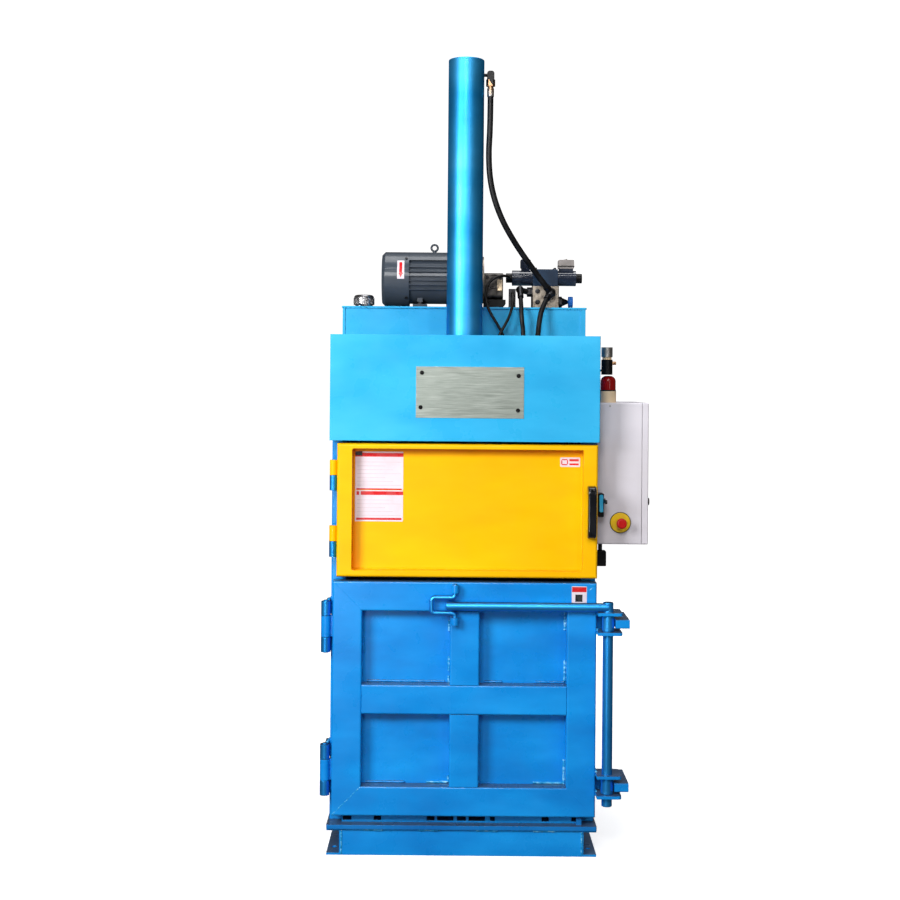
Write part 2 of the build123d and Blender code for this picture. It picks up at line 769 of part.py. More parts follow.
def stop_button():
    """The mushroom cap with its skirt, on a stem that slides in the collar."""
    front = BOX_FRONT - 44
    cap_rear = front + 14
    cap = round_y(STOP_X, front, cap_rear, STOP_Z, 14.5)
    cap = fillet(cap.edges().group_by(Axis.Y)[0], 5)
    skirt = round_y(STOP_X, cap_rear, cap_rear + 15, STOP_Z, 11)
    stem = round_y(STOP_X, cap_rear, BOX_FRONT + 20, STOP_Z, 7.95)
    return cap + skirt + stem


def lamp_base():
    base = round_z(LAMP_X, LAMP_Y, BOX_TOP, BOX_TOP + 33, 23)
    base = fillet(base.edges().group_by(Axis.Z)[-1], 2)
    return base


def lamp_dome():
    dome = round_z(LAMP_X, LAMP_Y, BOX_TOP + 33, BOX_TOP + 76, 21.5)
    return fillet(dome.edges().group_by(Axis.Z)[-1], 16)


def ram_switch():
    """The position switch of the ram, on a bracket behind the front cover's edge."""
    x, y = 404, -236
    switch = round_z(x, y, 1343, 1386, 16)
    switch += round_z(x, y, 1386, 1393, 13)
    switch += round_z(x, y, 1393, 1421, 16)
    switch += block(BODY_HALF, x, y - 12, y + 12, 1352, 1358)
    return switch + round_x(x, x + 26, y, 1376, 5)


def feed_switch():
    """The position switch of the feed door, on its bracket at the right post."""
    body = block(376, 392, -298, -264, 944, 1010)
    body = fillet(body.edges().filter_by(Axis.Y), 3)
    return body + block(BODY_HALF, 378, -274, -258, 950, 1004)


def switch_lever():
    lever = round_x(392.5, 397, -281, 988, 7)
    lever += block(393, 396.5, -322, -281, 984, 992)
    return lever + round_x(392.5, 398, -322, 988, 6)


def discharge_switch():
    """The position switch of the lower door, on a stem under the control box."""
    switch = block(BODY_HALF, 404, -258, -228, 801, 844)
    switch = fillet(switch.edges().filter_by(Axis.Y), 3)
    return switch + round_z(388, -243, 844, BOX_BOTTOM, 6)


def position_switches():
    return Compound(children=[ram_switch(), feed_switch(), discharge_switch()])


# Feed door


def feed_door():
    door = block(FEED_LEFT, FEED_RIGHT, DOOR_FRONT, DOOR_REAR, FEED_BOTTOM, FEED_TOP)
    front_edges = door.edges().group_by(Axis.Y)[0]
    door = fillet(front_edges, 7)
    pocket = block(-312, 332, DOOR_FRONT - 1, -290, FEED_BOTTOM + 18, FEED_TOP - 14)
    pocket = fillet(pocket.edges().filter_by(Axis.Y), 6)
    door -= pocket
    for x0, x1 in ((FEED_LEFT + 3, -315), (335, FEED_RIGHT - 3)):
        door -= block(x0, x1, -319, DOOR_REAR + 1, FEED_BOTTOM + 3, FEED_TOP - 3)
    door -= block(-315, 335, -287, DOOR_REAR + 1, FEED_BOTTOM + 3, FEED_TOP - 3)
    for z0, z1 in FEED_HINGES:
        door += upper_knuckle(z0, z1)
    return door


def feed_handle():
    outline = [(341, 888), (365, 888), (365, 1034), (341, 1034)]
    bar = front_plate(outline, DOOR_FRONT - 40, DOOR_FRONT)
    bar = fillet(bar.edges().filter_by(Axis.X).group_by(Axis.Y)[0], 22)
    sides = bar.edges().filter_by(lambda edge: abs(edge.center().X - 353) > 11)
    bar = fillet(sides.filter_by(lambda edge: edge.center().Y < DOOR_FRONT - 8), 5)
    bar -= block(340, 366, DOOR_FRONT - 26, DOOR_FRONT + 1, 912, 1010)
    for z in (900, 1022):
        bar -= round_y(353, DOOR_FRONT - 41, DOOR_FRONT - 30, z, 4)
    return bar


FEED_HINGES = [(1014, 1099), (829, 916)]


def upper_knuckle(z0, z1):
    """A hinge half that is welded to the feed door."""
    x, y = FEED_HINGE_X, FEED_HINGE_Y
    middle = (z0 + z1) / 2
    knuckle = round_z(x, y, middle + 0.5, z1, FEED_HINGE_RADIUS)
    knuckle += block(x, FEED_LEFT + 5, y - 2, y + 6, middle + 5, z1 - 4)
    return knuckle - round_z(x, y, middle, middle + 30, 5 + RUNNING_FIT)


def lower_knuckle(z0, z1):
    """A hinge half with its pin, on a bracket at the left post."""
    x, y = FEED_HINGE_X, FEED_HINGE_Y
    middle = (z0 + z1) / 2
    knuckle = round_z(x, y, z0, middle - 0.5, FEED_HINGE_RADIUS)
    knuckle += round_z(x, y, middle - 0.5, middle + 28, 5)
    return knuckle + block(-BODY_HALF, x + 3, y, BODY_FRONT, z0 + 2, middle - 3)


def feed_hinge_lugs():
    return Compound(children=[lower_knuckle(z0, z1) for z0, z1 in FEED_HINGES])


# Lower door


def frame_tube(points, box):
    tube = square_tube(*box)
    return tube & front_plate(points, DOOR_FRONT - 1, DOOR_TUBE_REAR + 1)


def door_stile(x0, x1, inner_x):
    """An upright of the lower door, mitred at both ends towards inner_x."""
    outer_x = x0 if inner_x == x1 else x1
    outline = [
        (outer_x, DOOR_BOTTOM),
        (inner_x, DOOR_BOTTOM + DOOR_TUBE),
        (inner_x, DOOR_TOP - DOOR_TUBE),
        (outer_x, DOOR_TOP),
    ]
    box = (x0, x1, DOOR_FRONT, DOOR_TUBE_REAR, DOOR_BOTTOM, DOOR_TOP, Axis.Z)
    return frame_tube(outline, box)


def door_rail(z0, z1, inner_z):
    """The top or bottom rail of the lower door, mitred at both ends."""
    outer_z = z0 if inner_z == z1 else z1
    outline = [
        (DOOR_LEFT, outer_z),
        (DOOR_RIGHT, outer_z),
        (DOOR_RIGHT - DOOR_TUBE, inner_z),
        (DOOR_LEFT + DOOR_TUBE, inner_z),
    ]
    box = (DOOR_LEFT, DOOR_RIGHT, DOOR_FRONT, DOOR_TUBE_REAR, z0, z1, Axis.X)
    return frame_tube(outline, box)


def middle_rail():
    x0 = DOOR_LEFT + DOOR_TUBE
    x1 = DOOR_RIGHT - DOOR_TUBE
    z0 = MID_RAIL_BOTTOM
    z1 = MID_RAIL_BOTTOM + DOOR_TUBE
    return square_tube(x0, x1, DOOR_FRONT, DOOR_TUBE_REAR, z0, z1, Axis.X)


def middle_stile(z0, z1):
    x0 = MIDDLE_STILE_X - DOOR_TUBE / 2
    x1 = MIDDLE_STILE_X + DOOR_TUBE / 2
    return square_tube(x0, x1, DOOR_FRONT, DOOR_TUBE_REAR, z0, z1, Axis.Z)


# Bottom, the two joints between the three knuckles, and top of each hinge
DOOR_HINGES = [(561, 603, 663, 703), (161, 202, 262, 303)]


def turning_knuckle(low, high):
    x, y = DOOR_HINGE_X, DOOR_HINGE_Y
    knuckle = round_z(x, y, low + 0.5, high - 0.5, DOOR_HINGE_RADIUS)
    knuckle += block(x, DOOR_LEFT, y + 1, y + 11, low + 0.5, high - 0.5)
    return knuckle - round_z(x, y, low - 1, high + 1, 7 + RUNNING_FIT)


def lower_door_frame():
    """Seven square tubes welded into a frame, with the middle knuckle of each hinge."""
    frame = door_stile(DOOR_LEFT, DOOR_LEFT + DOOR_TUBE, DOOR_LEFT + DOOR_TUBE)
    frame += door_stile(DOOR_RIGHT - DOOR_TUBE, DOOR_RIGHT, DOOR_RIGHT - DOOR_TUBE)
    frame += door_rail(DOOR_BOTTOM, DOOR_BOTTOM + DOOR_TUBE, DOOR_BOTTOM + DOOR_TUBE)
    frame += door_rail(DOOR_TOP - DOOR_TUBE, DOOR_TOP, DOOR_TOP - DOOR_TUBE)
    frame += middle_rail()
    frame += middle_stile(DOOR_BOTTOM + DOOR_TUBE, MID_RAIL_BOTTOM)
    frame += middle_stile(MID_RAIL_BOTTOM + DOOR_TUBE, DOOR_TOP - DOOR_TUBE)
    for bottom, low, high, top in DOOR_HINGES:
        frame += turning_knuckle(low, high)
    return frame


def lower_door_panel():
    x0 = DOOR_LEFT + 4
    x1 = DOOR_RIGHT - 4
    return block(x0, x1, DOOR_TUBE_REAR, DOOR_REAR, DOOR_BOTTOM + 4, DOOR_TOP - 4)


def lower_door_hinges():
    """Upper and lower knuckles with leaves welded to the left post, and their pins."""
    pieces = []
    x, y, r = DOOR_HINGE_X, DOOR_HINGE_Y, DOOR_HINGE_RADIUS
    for bottom, low, high, top in DOOR_HINGES:
        hinge = round_z(x, y, bottom - 2, top + 3, 7)
        for z0, z1 in ((bottom, low - 0.5), (high + 0.5, top)):
            hinge += round_z(x, y, z0, z1, r)
            hinge += block(x - 1, -BODY_HALF, y, BODY_FRONT + 40, z0, z1)
        pieces.append(hinge)
    return Compound(children=pieces)


# Latch


PLATE_THICK = 8.5
BRACKET_LEVELS = [(624, 678), (175, 229.5)]
KEEPER_LEVELS = [(643, 667), (193, 217)]
KEEPER_WEB = 24


def latch_bracket(z):
    plate = block(DOOR_RIGHT, DOOR_RIGHT + 68, LATCH_Y - 28, -292, z, z + PLATE_THICK)
    plate = fillet(plate.edges().filter_by(Axis.Z).group_by(Axis.X)[-1], 9)
    return plate - round_z(LATCH_X, LATCH_Y, z - 1, z + 20, LATCH_RADIUS + RUNNING_FIT)


def catch_eye(z0, z1):
    eye = round_z(CATCH_X, CATCH_Y, z0, z1, 10)
    eye += block(CATCH_X - 6, CATCH_X + 6, CATCH_Y, DOOR_FRONT, z0, z1)
    return eye - round_z(CATCH_X, CATCH_Y, z0 - 1, z1 + 1, CATCH_RADIUS + RUNNING_FIT)


def bracket_pair(lower, upper):
    """Two bearing plates joined by a web beside the door frame."""
    web = block(DOOR_RIGHT, DOOR_RIGHT + 16, -302, -292, lower, upper + PLATE_THICK)
    return latch_bracket(lower) + latch_bracket(upper) + web


def latch_brackets():
    """Bearing plates for the latch shaft and the two eyes of the catch rod."""
    pieces = [bracket_pair(lower, upper) for lower, upper in BRACKET_LEVELS]
    pieces += [catch_eye(646, 667), catch_eye(735, 757)]
    return Compound(children=pieces)


def latch_shaft():
    """The upright shaft with a cam beside each keeper."""
    shaft = round_z(LATCH_X, LATCH_Y, 149, 713, LATCH_RADIUS)
    shaft = chamfer(shaft.edges(), 1.5)
    for z0, z1 in KEEPER_LEVELS:
        cam = round_z(LATCH_X, LATCH_Y, z0 - 8, z1 + 8, LATCH_RADIUS + 3)
        flat = LATCH_Y + LATCH_RADIUS
        cam -= block(LATCH_X - 30, LATCH_X + 30, flat, flat + 30, z0 - 9, z1 + 9)
        shaft += cam
    return shaft


def latch_handle():
    bar = round_x(BAR_END, LATCH_X, BAR_Y, BAR_Z, BAR_RADIUS)
    bar = fillet(bar.edges().group_by(Axis.X)[0], 5)
    return bar - round_z(LATCH_X, LATCH_Y, BAR_Z - 20, BAR_Z + 20, LATCH_RADIUS)


def latch_keeper(z0, z1):
    """A hook plate on the right post, with a stiffening web below its rear leg."""
    tip_x = LATCH_X + LATCH_RADIUS + 5
    outline = [
        (BODY_HALF, -222),
        (BODY_HALF, -262),
        (tip_x, -262),
        (tip_x, LATCH_Y - 20),
        (459, LATCH_Y - 20),
        (459, -222),
    ]
    keeper = floor_plate(outline, z0, z1)
    keeper = chamfer(keeper.edges().filter_by(Axis.X).group_by(Axis.Y)[0], 2)
    return keeper + block(BODY_HALF, tip_x, -262, -254, z0 - KEEPER_WEB, z0)


def catch_rod():
    low, high = 679.5, 722
    x, y = CATCH_X, CATCH_Y
    route = [
        (x, y, 645),
        (x, y, low),
        (x - CATCH_REACH, y, low),
        (x - CATCH_REACH, y, high),
        (x, y, high),
        (x, y, 760),
    ]
    path = FilletPolyline(*route, radius=10)
    return sweep(Plane(route[0], z_dir=(0, 0, 1)) * Circle(CATCH_RADIUS), path=path)


def latch_keepers():
    return Compound(children=[latch_keeper(z0, z1) for z0, z1 in KEEPER_LEVELS])


os.makedirs("parts", exist_ok=True)

PIECES = {
    "base_frame": base_frame,
    "shelf_plate": shelf_plate,
    "chamber_floor": chamber_floor,
    "left_wall": lambda: side_wall(-1),
    "right_wall": lambda: side_wall(1),
    "rear_wall": rear_wall,
    "left_side_frame": lambda: side_frame(-1),
    "right_side_frame": lambda: side_frame(1),
    "crown_frame": crown_frame,
    "front_cover": front_cover,
    "nameplate": nameplate,
    "nameplate_rivets": nameplate_rivets,
    "hex_bolts": hex_bolts,
    "cylinder_tube": cylinder_tube,
    "cylinder_head": cylinder_head,
    "hose_fittings": hose_fittings,
    "piston": piston,
    "piston_rod": piston_rod,
    "platen_plate": platen_plate,
    "platen_frame": platen_frame,
    "oil_tank": oil_tank,
    "tank_lid": tank_lid,
    "breather_cap": breather_cap,
    "motor_body": motor_body,
    "fan_cover": fan_cover,
    "motor_shaft": motor_shaft,
    "motor_fan": motor_fan,
    "shaft_coupling": shaft_coupling,
    "bell_housing": bell_housing,
    "gear_pump": gear_pump,
    "manifold_block": manifold_block,
    "valve_body": valve_body,
    "solenoids": solenoids,
    "relief_valve": relief_valve,
    "relief_knob": relief_knob,
    "main_hose": lambda: cord(MAIN_HOSE, MAIN_HOSE_RADIUS, "main_hose"),
    "lower_hose": lambda: cord(LOWER_HOSE, LOWER_HOSE_RADIUS, "lower_hose"),
    "return_hose": lambda: cord(RETURN_HOSE, RETURN_HOSE_RADIUS, "return_hose"),
    "long_cable": lambda: cord(LONG_CABLE, CABLE_RADIUS, "long_cable"),
    "short_cable": lambda: cord(SHORT_CABLE, CABLE_RADIUS, "short_cable"),
    "control_box": control_box,
    "control_box_door": control_box_door,
    "box_lock": box_lock,
    "stop_collar": stop_collar,
    "stop_button": stop_button,
    "lamp_base": lamp_base,
    "lamp_dome": lamp_dome,
    "position_switches": position_switches,
    "switch_lever": switch_lever,
    "feed_door": feed_door,
    "feed_handle": feed_handle,
    "feed_hinge_lugs": feed_hinge_lugs,
    "lower_door_frame": lower_door_frame,
    "lower_door_panel": lower_door_panel,
    "lower_door_hinges": lower_door_hinges,
    "latch_brackets": latch_brackets,
    "latch_shaft": latch_shaft,
    "latch_handle": latch_handle,
    "latch_keepers": latch_keepers,
    "catch_rod": catch_rod,
}

for name, make in PIECES.items():
    save(make(), name)
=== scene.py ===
# %% [markdown]
# # An upright recycling baler
# This lesson dresses a small hydraulic baler. A tall cylinder pushes a plate down into a steel
# chamber, a yellow door takes the waste and a blue door lets the bale out. The steelwork comes
# from CAD as a fixed frame, so its shapes are not changed. Here it gets its paint, its hoses, its
# welds and its small fittings. Everything is in metres, with Z up and the doors facing -Y.

# %% Load the frame
import math

import bpy
from mathutils import Matrix, Vector


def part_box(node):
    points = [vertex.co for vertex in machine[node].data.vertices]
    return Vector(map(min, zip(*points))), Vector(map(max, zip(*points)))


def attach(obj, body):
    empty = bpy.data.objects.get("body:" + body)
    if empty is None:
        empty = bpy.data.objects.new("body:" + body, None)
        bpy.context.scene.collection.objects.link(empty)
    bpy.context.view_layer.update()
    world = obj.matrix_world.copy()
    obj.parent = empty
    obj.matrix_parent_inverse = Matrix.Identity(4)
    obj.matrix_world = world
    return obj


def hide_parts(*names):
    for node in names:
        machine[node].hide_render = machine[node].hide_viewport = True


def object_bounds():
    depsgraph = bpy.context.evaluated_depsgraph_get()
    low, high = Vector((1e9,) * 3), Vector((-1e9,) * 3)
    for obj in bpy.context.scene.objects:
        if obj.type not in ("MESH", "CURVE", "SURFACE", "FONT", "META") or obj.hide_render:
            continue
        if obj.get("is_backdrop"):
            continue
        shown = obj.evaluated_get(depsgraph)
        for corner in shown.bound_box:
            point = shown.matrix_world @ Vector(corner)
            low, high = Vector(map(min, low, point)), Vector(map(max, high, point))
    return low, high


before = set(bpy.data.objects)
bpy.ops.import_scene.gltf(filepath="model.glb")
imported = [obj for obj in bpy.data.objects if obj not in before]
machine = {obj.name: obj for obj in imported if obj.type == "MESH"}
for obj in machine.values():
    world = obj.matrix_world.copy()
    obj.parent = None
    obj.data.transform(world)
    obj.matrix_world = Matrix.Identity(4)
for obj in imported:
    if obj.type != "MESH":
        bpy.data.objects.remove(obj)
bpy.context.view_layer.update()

# %% [markdown]
# ## The camera
# The picture was taken from about four metres, with the eye 1.3 m above the floor and a little
# left of the middle. The machine leans half a degree in the picture, so the camera is rolled by
# as much. Its upright edges stay parallel, so the camera is not tilted, and the lens is shifted
# down instead. The standard colour transform keeps the strong blue and yellow of the paint.

# %% Set up the camera
bpy.ops.object.select_all(action="DESELECT")
bpy.ops.object.camera_add(location=(-0.042, -4.219, 1.316))
camera = bpy.context.object
camera.name = "camera"
camera.data.sensor_width = 36
camera.data.lens = 56
camera.data.shift_y = -0.0745
lean = math.radians(-0.478)
camera.rotation_euler = (math.radians(90), lean, 0)
bpy.context.scene.camera = camera
bpy.context.scene.view_settings.view_transform = "Standard"
print("camera", [round(v, 3) for v in camera.location], "lens", camera.data.lens, "mm")

# %% [markdown]
# ## Finishes
# Every finish is made of the same few steps. A noise pattern on the object's own coordinates
# changes the colour a little, a second one the gloss, and a fine one becomes a bump, so that the
# light catches small unevenness. The Bevel node rounds every sharp edge in the shading only,
# which is how real sheet edges look under a coat of paint. Small helpers build the steps.

# %% Helpers for finishes
def noise_field(tree, scale, detail, stretch=(1, 1, 1)):
    """A noise pattern on object coordinates, stretched along the axes."""
    place = tree.nodes.new("ShaderNodeTexCoord")
    mapping = tree.nodes.new("ShaderNodeMapping")
    mapping.inputs["Scale"].default_value = stretch
    noise = tree.nodes.new("ShaderNodeTexNoise")
    noise.inputs["Scale"].default_value = scale
    noise.inputs["Detail"].default_value = detail
    tree.links.new(place.outputs["Object"], mapping.inputs["Vector"])
    tree.links.new(mapping.outputs["Vector"], noise.inputs["Vector"])
    return noise.outputs["Fac"]


def ramp_between(tree, value, places, colours):
    """Turns a value into colours, each at its own place from 0 to 1."""
    ramp = tree.nodes.new("ShaderNodeValToRGB")
    elements = ramp.color_ramp.elements
    while len(elements) < len(places):
        elements.new(0.5)
    for element, place, colour in zip(elements, places, colours):
        element.position = place
        element.color = (*colour, 1)
    tree.links.new(value, ramp.inputs["Fac"])
    return ramp.outputs["Color"]


def remapped(tree, value, old, new=(0, 1)):
    """Maps a range of numbers onto another, and holds what lies outside at its ends."""
    span = tree.nodes.new("ShaderNodeMapRange")
    for end, number in zip(("From Min", "From Max", "To Min", "To Max"), (*old, *new)):
        span.inputs[end].default_value = number
    tree.links.new(value, span.inputs["Value"])
    return span.outputs["Result"]


def blended(tree, amount, colour, other):
    """Mixes a second, even colour into a colour by an amount from 0 to 1."""
    mix = tree.nodes.new("ShaderNodeMix")
    mix.data_type = "RGBA"
    mix.inputs["B"].default_value = (*other, 1)
    tree.links.new(amount, mix.inputs["Factor"])
    tree.links.new(colour, mix.inputs["A"])
    return mix.outputs["Result"]


def new_finish(name):
    """A material with its node tree and its shader."""
    material = bpy.data.materials.new(name)
    material.use_nodes = True
    return material, material.node_tree, material.node_tree.nodes["Principled BSDF"]


def relief(tree, shader, fields, edge):
    """Chains bumps over a rounded edge: fields is a list of (pattern, height in metres)."""
    soft = tree.nodes.new("ShaderNodeBevel")
    soft.samples = 4
    soft.inputs["Radius"].default_value = edge
    normal = soft.outputs["Normal"]
    for field, height in fields:
        bump = tree.nodes.new("ShaderNodeBump")
        bump.inputs["Distance"].default_value = height
        bump.inputs["Strength"].default_value = 1.0
        tree.links.new(field, bump.inputs["Height"])
        tree.links.new(normal, bump.inputs["Normal"])
        normal = bump.outputs["Normal"]
    tree.links.new(normal, shader.inputs["Normal"])


# %% [markdown]
# ## Enamel paint
# The machine is sprayed with thick glossy enamel. It has three marks: a slow change of colour,
# squeezed into flat horizontal bands that are partly the coat's own unevenness and partly painted
# streaks of reflection, the fine dimples called orange peel, and a large shallow waviness of the
# thin sheet below. Faces that look up are darkened towards grey by the surface's own normal: partly
# dust and oil that settle there, partly painted shade, as on the low flanges beneath the shelf.

# %% A helper for enamel
NOISE_SPREAD = (0.3, 0.7)  # the range that noise mostly keeps to
# How far a face must look up before it darkens, and the most grey it takes: dust, and painted
# shade.
DUST_SHADE_SPREAD, MOST_DUST_SHADE = (0.55, 0.95), 0.85
# The colour cloud is squeezed along Z into flat horizontal bands: partly the coat's own unevenness,
# partly painted streaks of reflection.
CLOUD_STRETCH, CLOUD_PLACES = (1, 1, 2.5), (0.32, 0.5, 0.68)
RUBBED_SCALE, SHEET_SCALE, PEEL_SCALE = 14, 2.4, 380
COAT_ROUGHNESS = 0.08


def dust_and_painted_shade(tree, colour, dust_shade):
    """Mixes dust and painted shade into a colour on the faces that look up."""
    place = tree.nodes.new("ShaderNodeTexCoord")
    parts = tree.nodes.new("ShaderNodeSeparateXYZ")
    tree.links.new(place.outputs["Normal"], parts.inputs["Vector"])
    upward = remapped(tree, parts.outputs["Z"], DUST_SHADE_SPREAD, (0, MOST_DUST_SHADE))
    return blended(tree, upward, colour, dust_shade)


def enamel(name, deep, middle, light, gloss=(0.22, 0.38), wave=0.0006, peel=0.00004,
           edge=0.0024, cloud_size=3.2, dust_shade=None, flake=0.0, coat=0.25, shine=0.35,
           rim=(1, 1, 1)):
    """Paint in three shades; flake makes it metallic, and rim is its colour at grazing angles."""
    material, tree, shader = new_finish(name)
    cloud = noise_field(tree, cloud_size, 5, CLOUD_STRETCH)
    colour = ramp_between(tree, cloud, CLOUD_PLACES, (deep, middle, light))
    if dust_shade:
        colour = dust_and_painted_shade(tree, colour, dust_shade)
    tree.links.new(colour, shader.inputs["Base Color"])
    rubbed = noise_field(tree, RUBBED_SCALE, 6)
    tree.links.new(remapped(tree, rubbed, NOISE_SPREAD, gloss), shader.inputs["Roughness"])
    shader.inputs["Metallic"].default_value = flake
    shader.inputs["Specular IOR Level"].default_value = shine
    shader.inputs["Specular Tint"].default_value = (*rim, 1)
    shader.inputs["Coat Weight"].default_value = coat
    shader.inputs["Coat Roughness"].default_value = COAT_ROUGHNESS
    sheet_wave = noise_field(tree, SHEET_SCALE, 2)
    orange_peel = noise_field(tree, PEEL_SCALE, 2)
    relief(tree, shader, [(sheet_wave, wave), (orange_peel, peel)], edge)
    return material


# %% [markdown]
# ## The machine's colours
# The doors and the body are a strong blue. The upper sheets and the tank take a lighter copy of the
# same blue, painted light, as more light falls on them from above, and the shelf below the door a
# darker copy, painted shade with some dirt, as it lies low in shade. The cylinder and the round
# bars look different: they are bright only where they mirror a light, and dark along both edges.
# Their paint is made metallic with a dark rim, because on a metal the Specular Tint is the colour
# at grazing angles.

# %% Mix the enamels
# The grey on faces that look up: dust and oil, and painted shade on the low flanges and ledges.
blue_dust_shade = (0.05, 0.065, 0.085)
blue_enamel = enamel(
    "blue_enamel", (0.002, 0.20, 0.62), (0.003, 0.26, 0.74), (0.007, 0.33, 0.86),
    dust_shade=blue_dust_shade,
)
# A darker copy of the blue for the shelf: painted shade, with some dirt.
shaded_shelf_enamel = enamel(
    "shaded_shelf_enamel", (0.002, 0.11, 0.40), (0.003, 0.15, 0.48), (0.006, 0.19, 0.56),
    dust_shade=blue_dust_shade,
)
bar_enamel = enamel(
    "bar_enamel", (0.02, 0.31, 0.84), (0.035, 0.38, 0.94), (0.05, 0.45, 0.99),
    gloss=(0.34, 0.42), wave=0.0002, dust_shade=blue_dust_shade, flake=0.86, coat=0.1,
    rim=(0.0, 0.04, 0.2),
)
# A lighter copy of the same blue for the upper sheets and the tank: painted light.
lit_sky_enamel = enamel(
    "lit_sky_enamel", (0.02, 0.36, 0.69), (0.03, 0.42, 0.76), (0.045, 0.48, 0.83), wave=0.0016,
    dust_shade=(0.08, 0.12, 0.16), coat=0.12, shine=0.25,
)
cylinder_enamel = enamel(
    "cylinder_enamel", (0.02, 0.33, 0.76), (0.04, 0.41, 0.85), (0.07, 0.48, 0.92),
    gloss=(0.42, 0.5), wave=0.0002, flake=0.94, coat=0.06, rim=(0.01, 0.06, 0.25),
)
yellow_enamel = enamel(
    "yellow_enamel", (0.90, 0.45, 0.0), (0.95, 0.50, 0.0), (0.98, 0.55, 0.0),
    gloss=(0.3, 0.42), wave=0.0008, coat=0.1, shine=0.15,
)
cabinet_enamel = enamel(
    "cabinet_enamel", (0.66, 0.63, 0.68), (0.71, 0.68, 0.74), (0.75, 0.72, 0.78),
    gloss=(0.42, 0.5), wave=0.0002, peel=0.00008,
)
motor_enamel = enamel(
    "motor_enamel", (0.025, 0.034, 0.046), (0.038, 0.05, 0.068), (0.06, 0.075, 0.095),
    gloss=(0.3, 0.5), wave=0.0001, peel=0.0001,
)
print("enamels:", [m.name for m in bpy.data.materials if "enamel" in m.name])

# %% [markdown]
# ## The warm edges of the tray
# The feed door is a shallow tray, and its walls throw yellow light on each other. Close to the
# left and the upper wall the real door is nearly orange. A soft light doesn't give that, so a copy
# of the yellow turns to orange towards those two walls, by its place on the door.

# %% Warm the tray's enamel
def warmed(name, material, warm, fades):
    """A copy of a finish that turns warm at its edges: fades is a list of (axis, far, near)."""
    copy = material.copy()
    copy.name = name
    tree = copy.node_tree
    shader = tree.nodes["Principled BSDF"]
    colour = shader.inputs["Base Color"].links[0].from_socket
    place = tree.nodes.new("ShaderNodeTexCoord")
    parts = tree.nodes.new("ShaderNodeSeparateXYZ")
    tree.links.new(place.outputs["Object"], parts.inputs["Vector"])
    for axis, far, near in fades:
        fade = remapped(tree, parts.outputs[axis], (far, near))
        colour = blended(tree, fade, colour, warm)
    tree.links.new(colour, shader.inputs["Base Color"])
    return copy


orange = (0.95, 0.30, 0.0)
tray_fades = [("X", -0.288, -0.313), ("Z", 1.110, 1.132)]
tray_enamel = warmed("tray_enamel", yellow_enamel, orange, tray_fades)
for axis, far, near in tray_fades:
    print("the tray turns orange along", axis, "from", far, "to", near)

# %% [markdown]
# ## Metals
# Bare metal shows how it was worked. The nameplate is brushed, so its pattern is stretched to
# long scratches along X. Cast aluminium has a coarse grain, plated fittings are almost smooth
# with a soft blotch in the gloss, and oiled steel is dark.

# %% Bare metals
def bare_metal(name, dark, light, gloss, grain, stretch=(1, 1, 1), height=0.00003, edge=0.0006):
    """Metal in two shades; grain is the scale of its working, height the depth of its marks."""
    material, tree, shader = new_finish(name)
    worked = noise_field(tree, grain, 4, stretch)
    colour = ramp_between(tree, worked, NOISE_SPREAD, (dark, light))
    tree.links.new(colour, shader.inputs["Base Color"])
    tree.links.new(remapped(tree, worked, NOISE_SPREAD, gloss), shader.inputs["Roughness"])
    shader.inputs["Metallic"].default_value = 1.0
    relief(tree, shader, [(worked, height)], edge)
    return material


brushed_plate = bare_metal(
    "brushed_plate", (0.31, 0.36, 0.32), (0.56, 0.61, 0.56), (0.30, 0.42), 60, (0.4, 1, 26)
)
plated_steel = bare_metal("plated_steel", (0.30, 0.29, 0.28), (0.52, 0.51, 0.49), (0.34, 0.48), 40)
chrome = bare_metal("chrome", (0.20, 0.20, 0.21), (0.38, 0.38, 0.39), (0.28, 0.42), 30)
dark_steel = bare_metal("dark_steel", (0.018, 0.018, 0.02), (0.07, 0.07, 0.075), (0.25, 0.45), 50)
pump_cast = bare_metal(
    "pump_cast", (0.018, 0.017, 0.016), (0.10, 0.092, 0.085), (0.3, 0.5), 70, height=0.0002
)
tag_steel = bare_metal("tag_steel", (0.30, 0.22, 0.13), (0.58, 0.48, 0.36), (0.3, 0.5), 50)
cast_alloy = bare_metal(
    "cast_alloy", (0.16, 0.135, 0.11), (0.46, 0.40, 0.33), (0.34, 0.6), 90, height=0.0002
)
brass = bare_metal("brass", (0.34, 0.19, 0.10), (0.55, 0.33, 0.19), (0.3, 0.45), 45)
print("finishes so far, with the enamels:", len(bpy.data.materials))

# %% [markdown]
# ## Rubber and plastics
# A hose has a dull black cover that picks up dust. Moulded plastic has a fine texture and an even
# colour, with a little dust in patches. The lamp's lens is deep red and glossy, and so are the
# valve's navy coils, whose clear varnish draws a bright line along them.

# %% Rubber and plastics
DUST_SCALE, DUST_PLACES = 26, (0.42, 0.78)


def moulded(name, colour, dusty, gloss, grain=220, height=0.00003, edge=0.0008, coat=0.0,
            shine=0.3):
    """Rubber or plastic in one colour, with dusty patches and a fine grain."""
    material, tree, shader = new_finish(name)
    dust = noise_field(tree, DUST_SCALE, 6)
    patchy = ramp_between(tree, dust, DUST_PLACES, (colour, dusty))
    tree.links.new(patchy, shader.inputs["Base Color"])
    tree.links.new(remapped(tree, dust, NOISE_SPREAD, gloss), shader.inputs["Roughness"])
    shader.inputs["Coat Weight"].default_value = coat
    shader.inputs["Specular IOR Level"].default_value = shine
    relief(tree, shader, [(noise_field(tree, grain, 3), height)], edge)
    return material


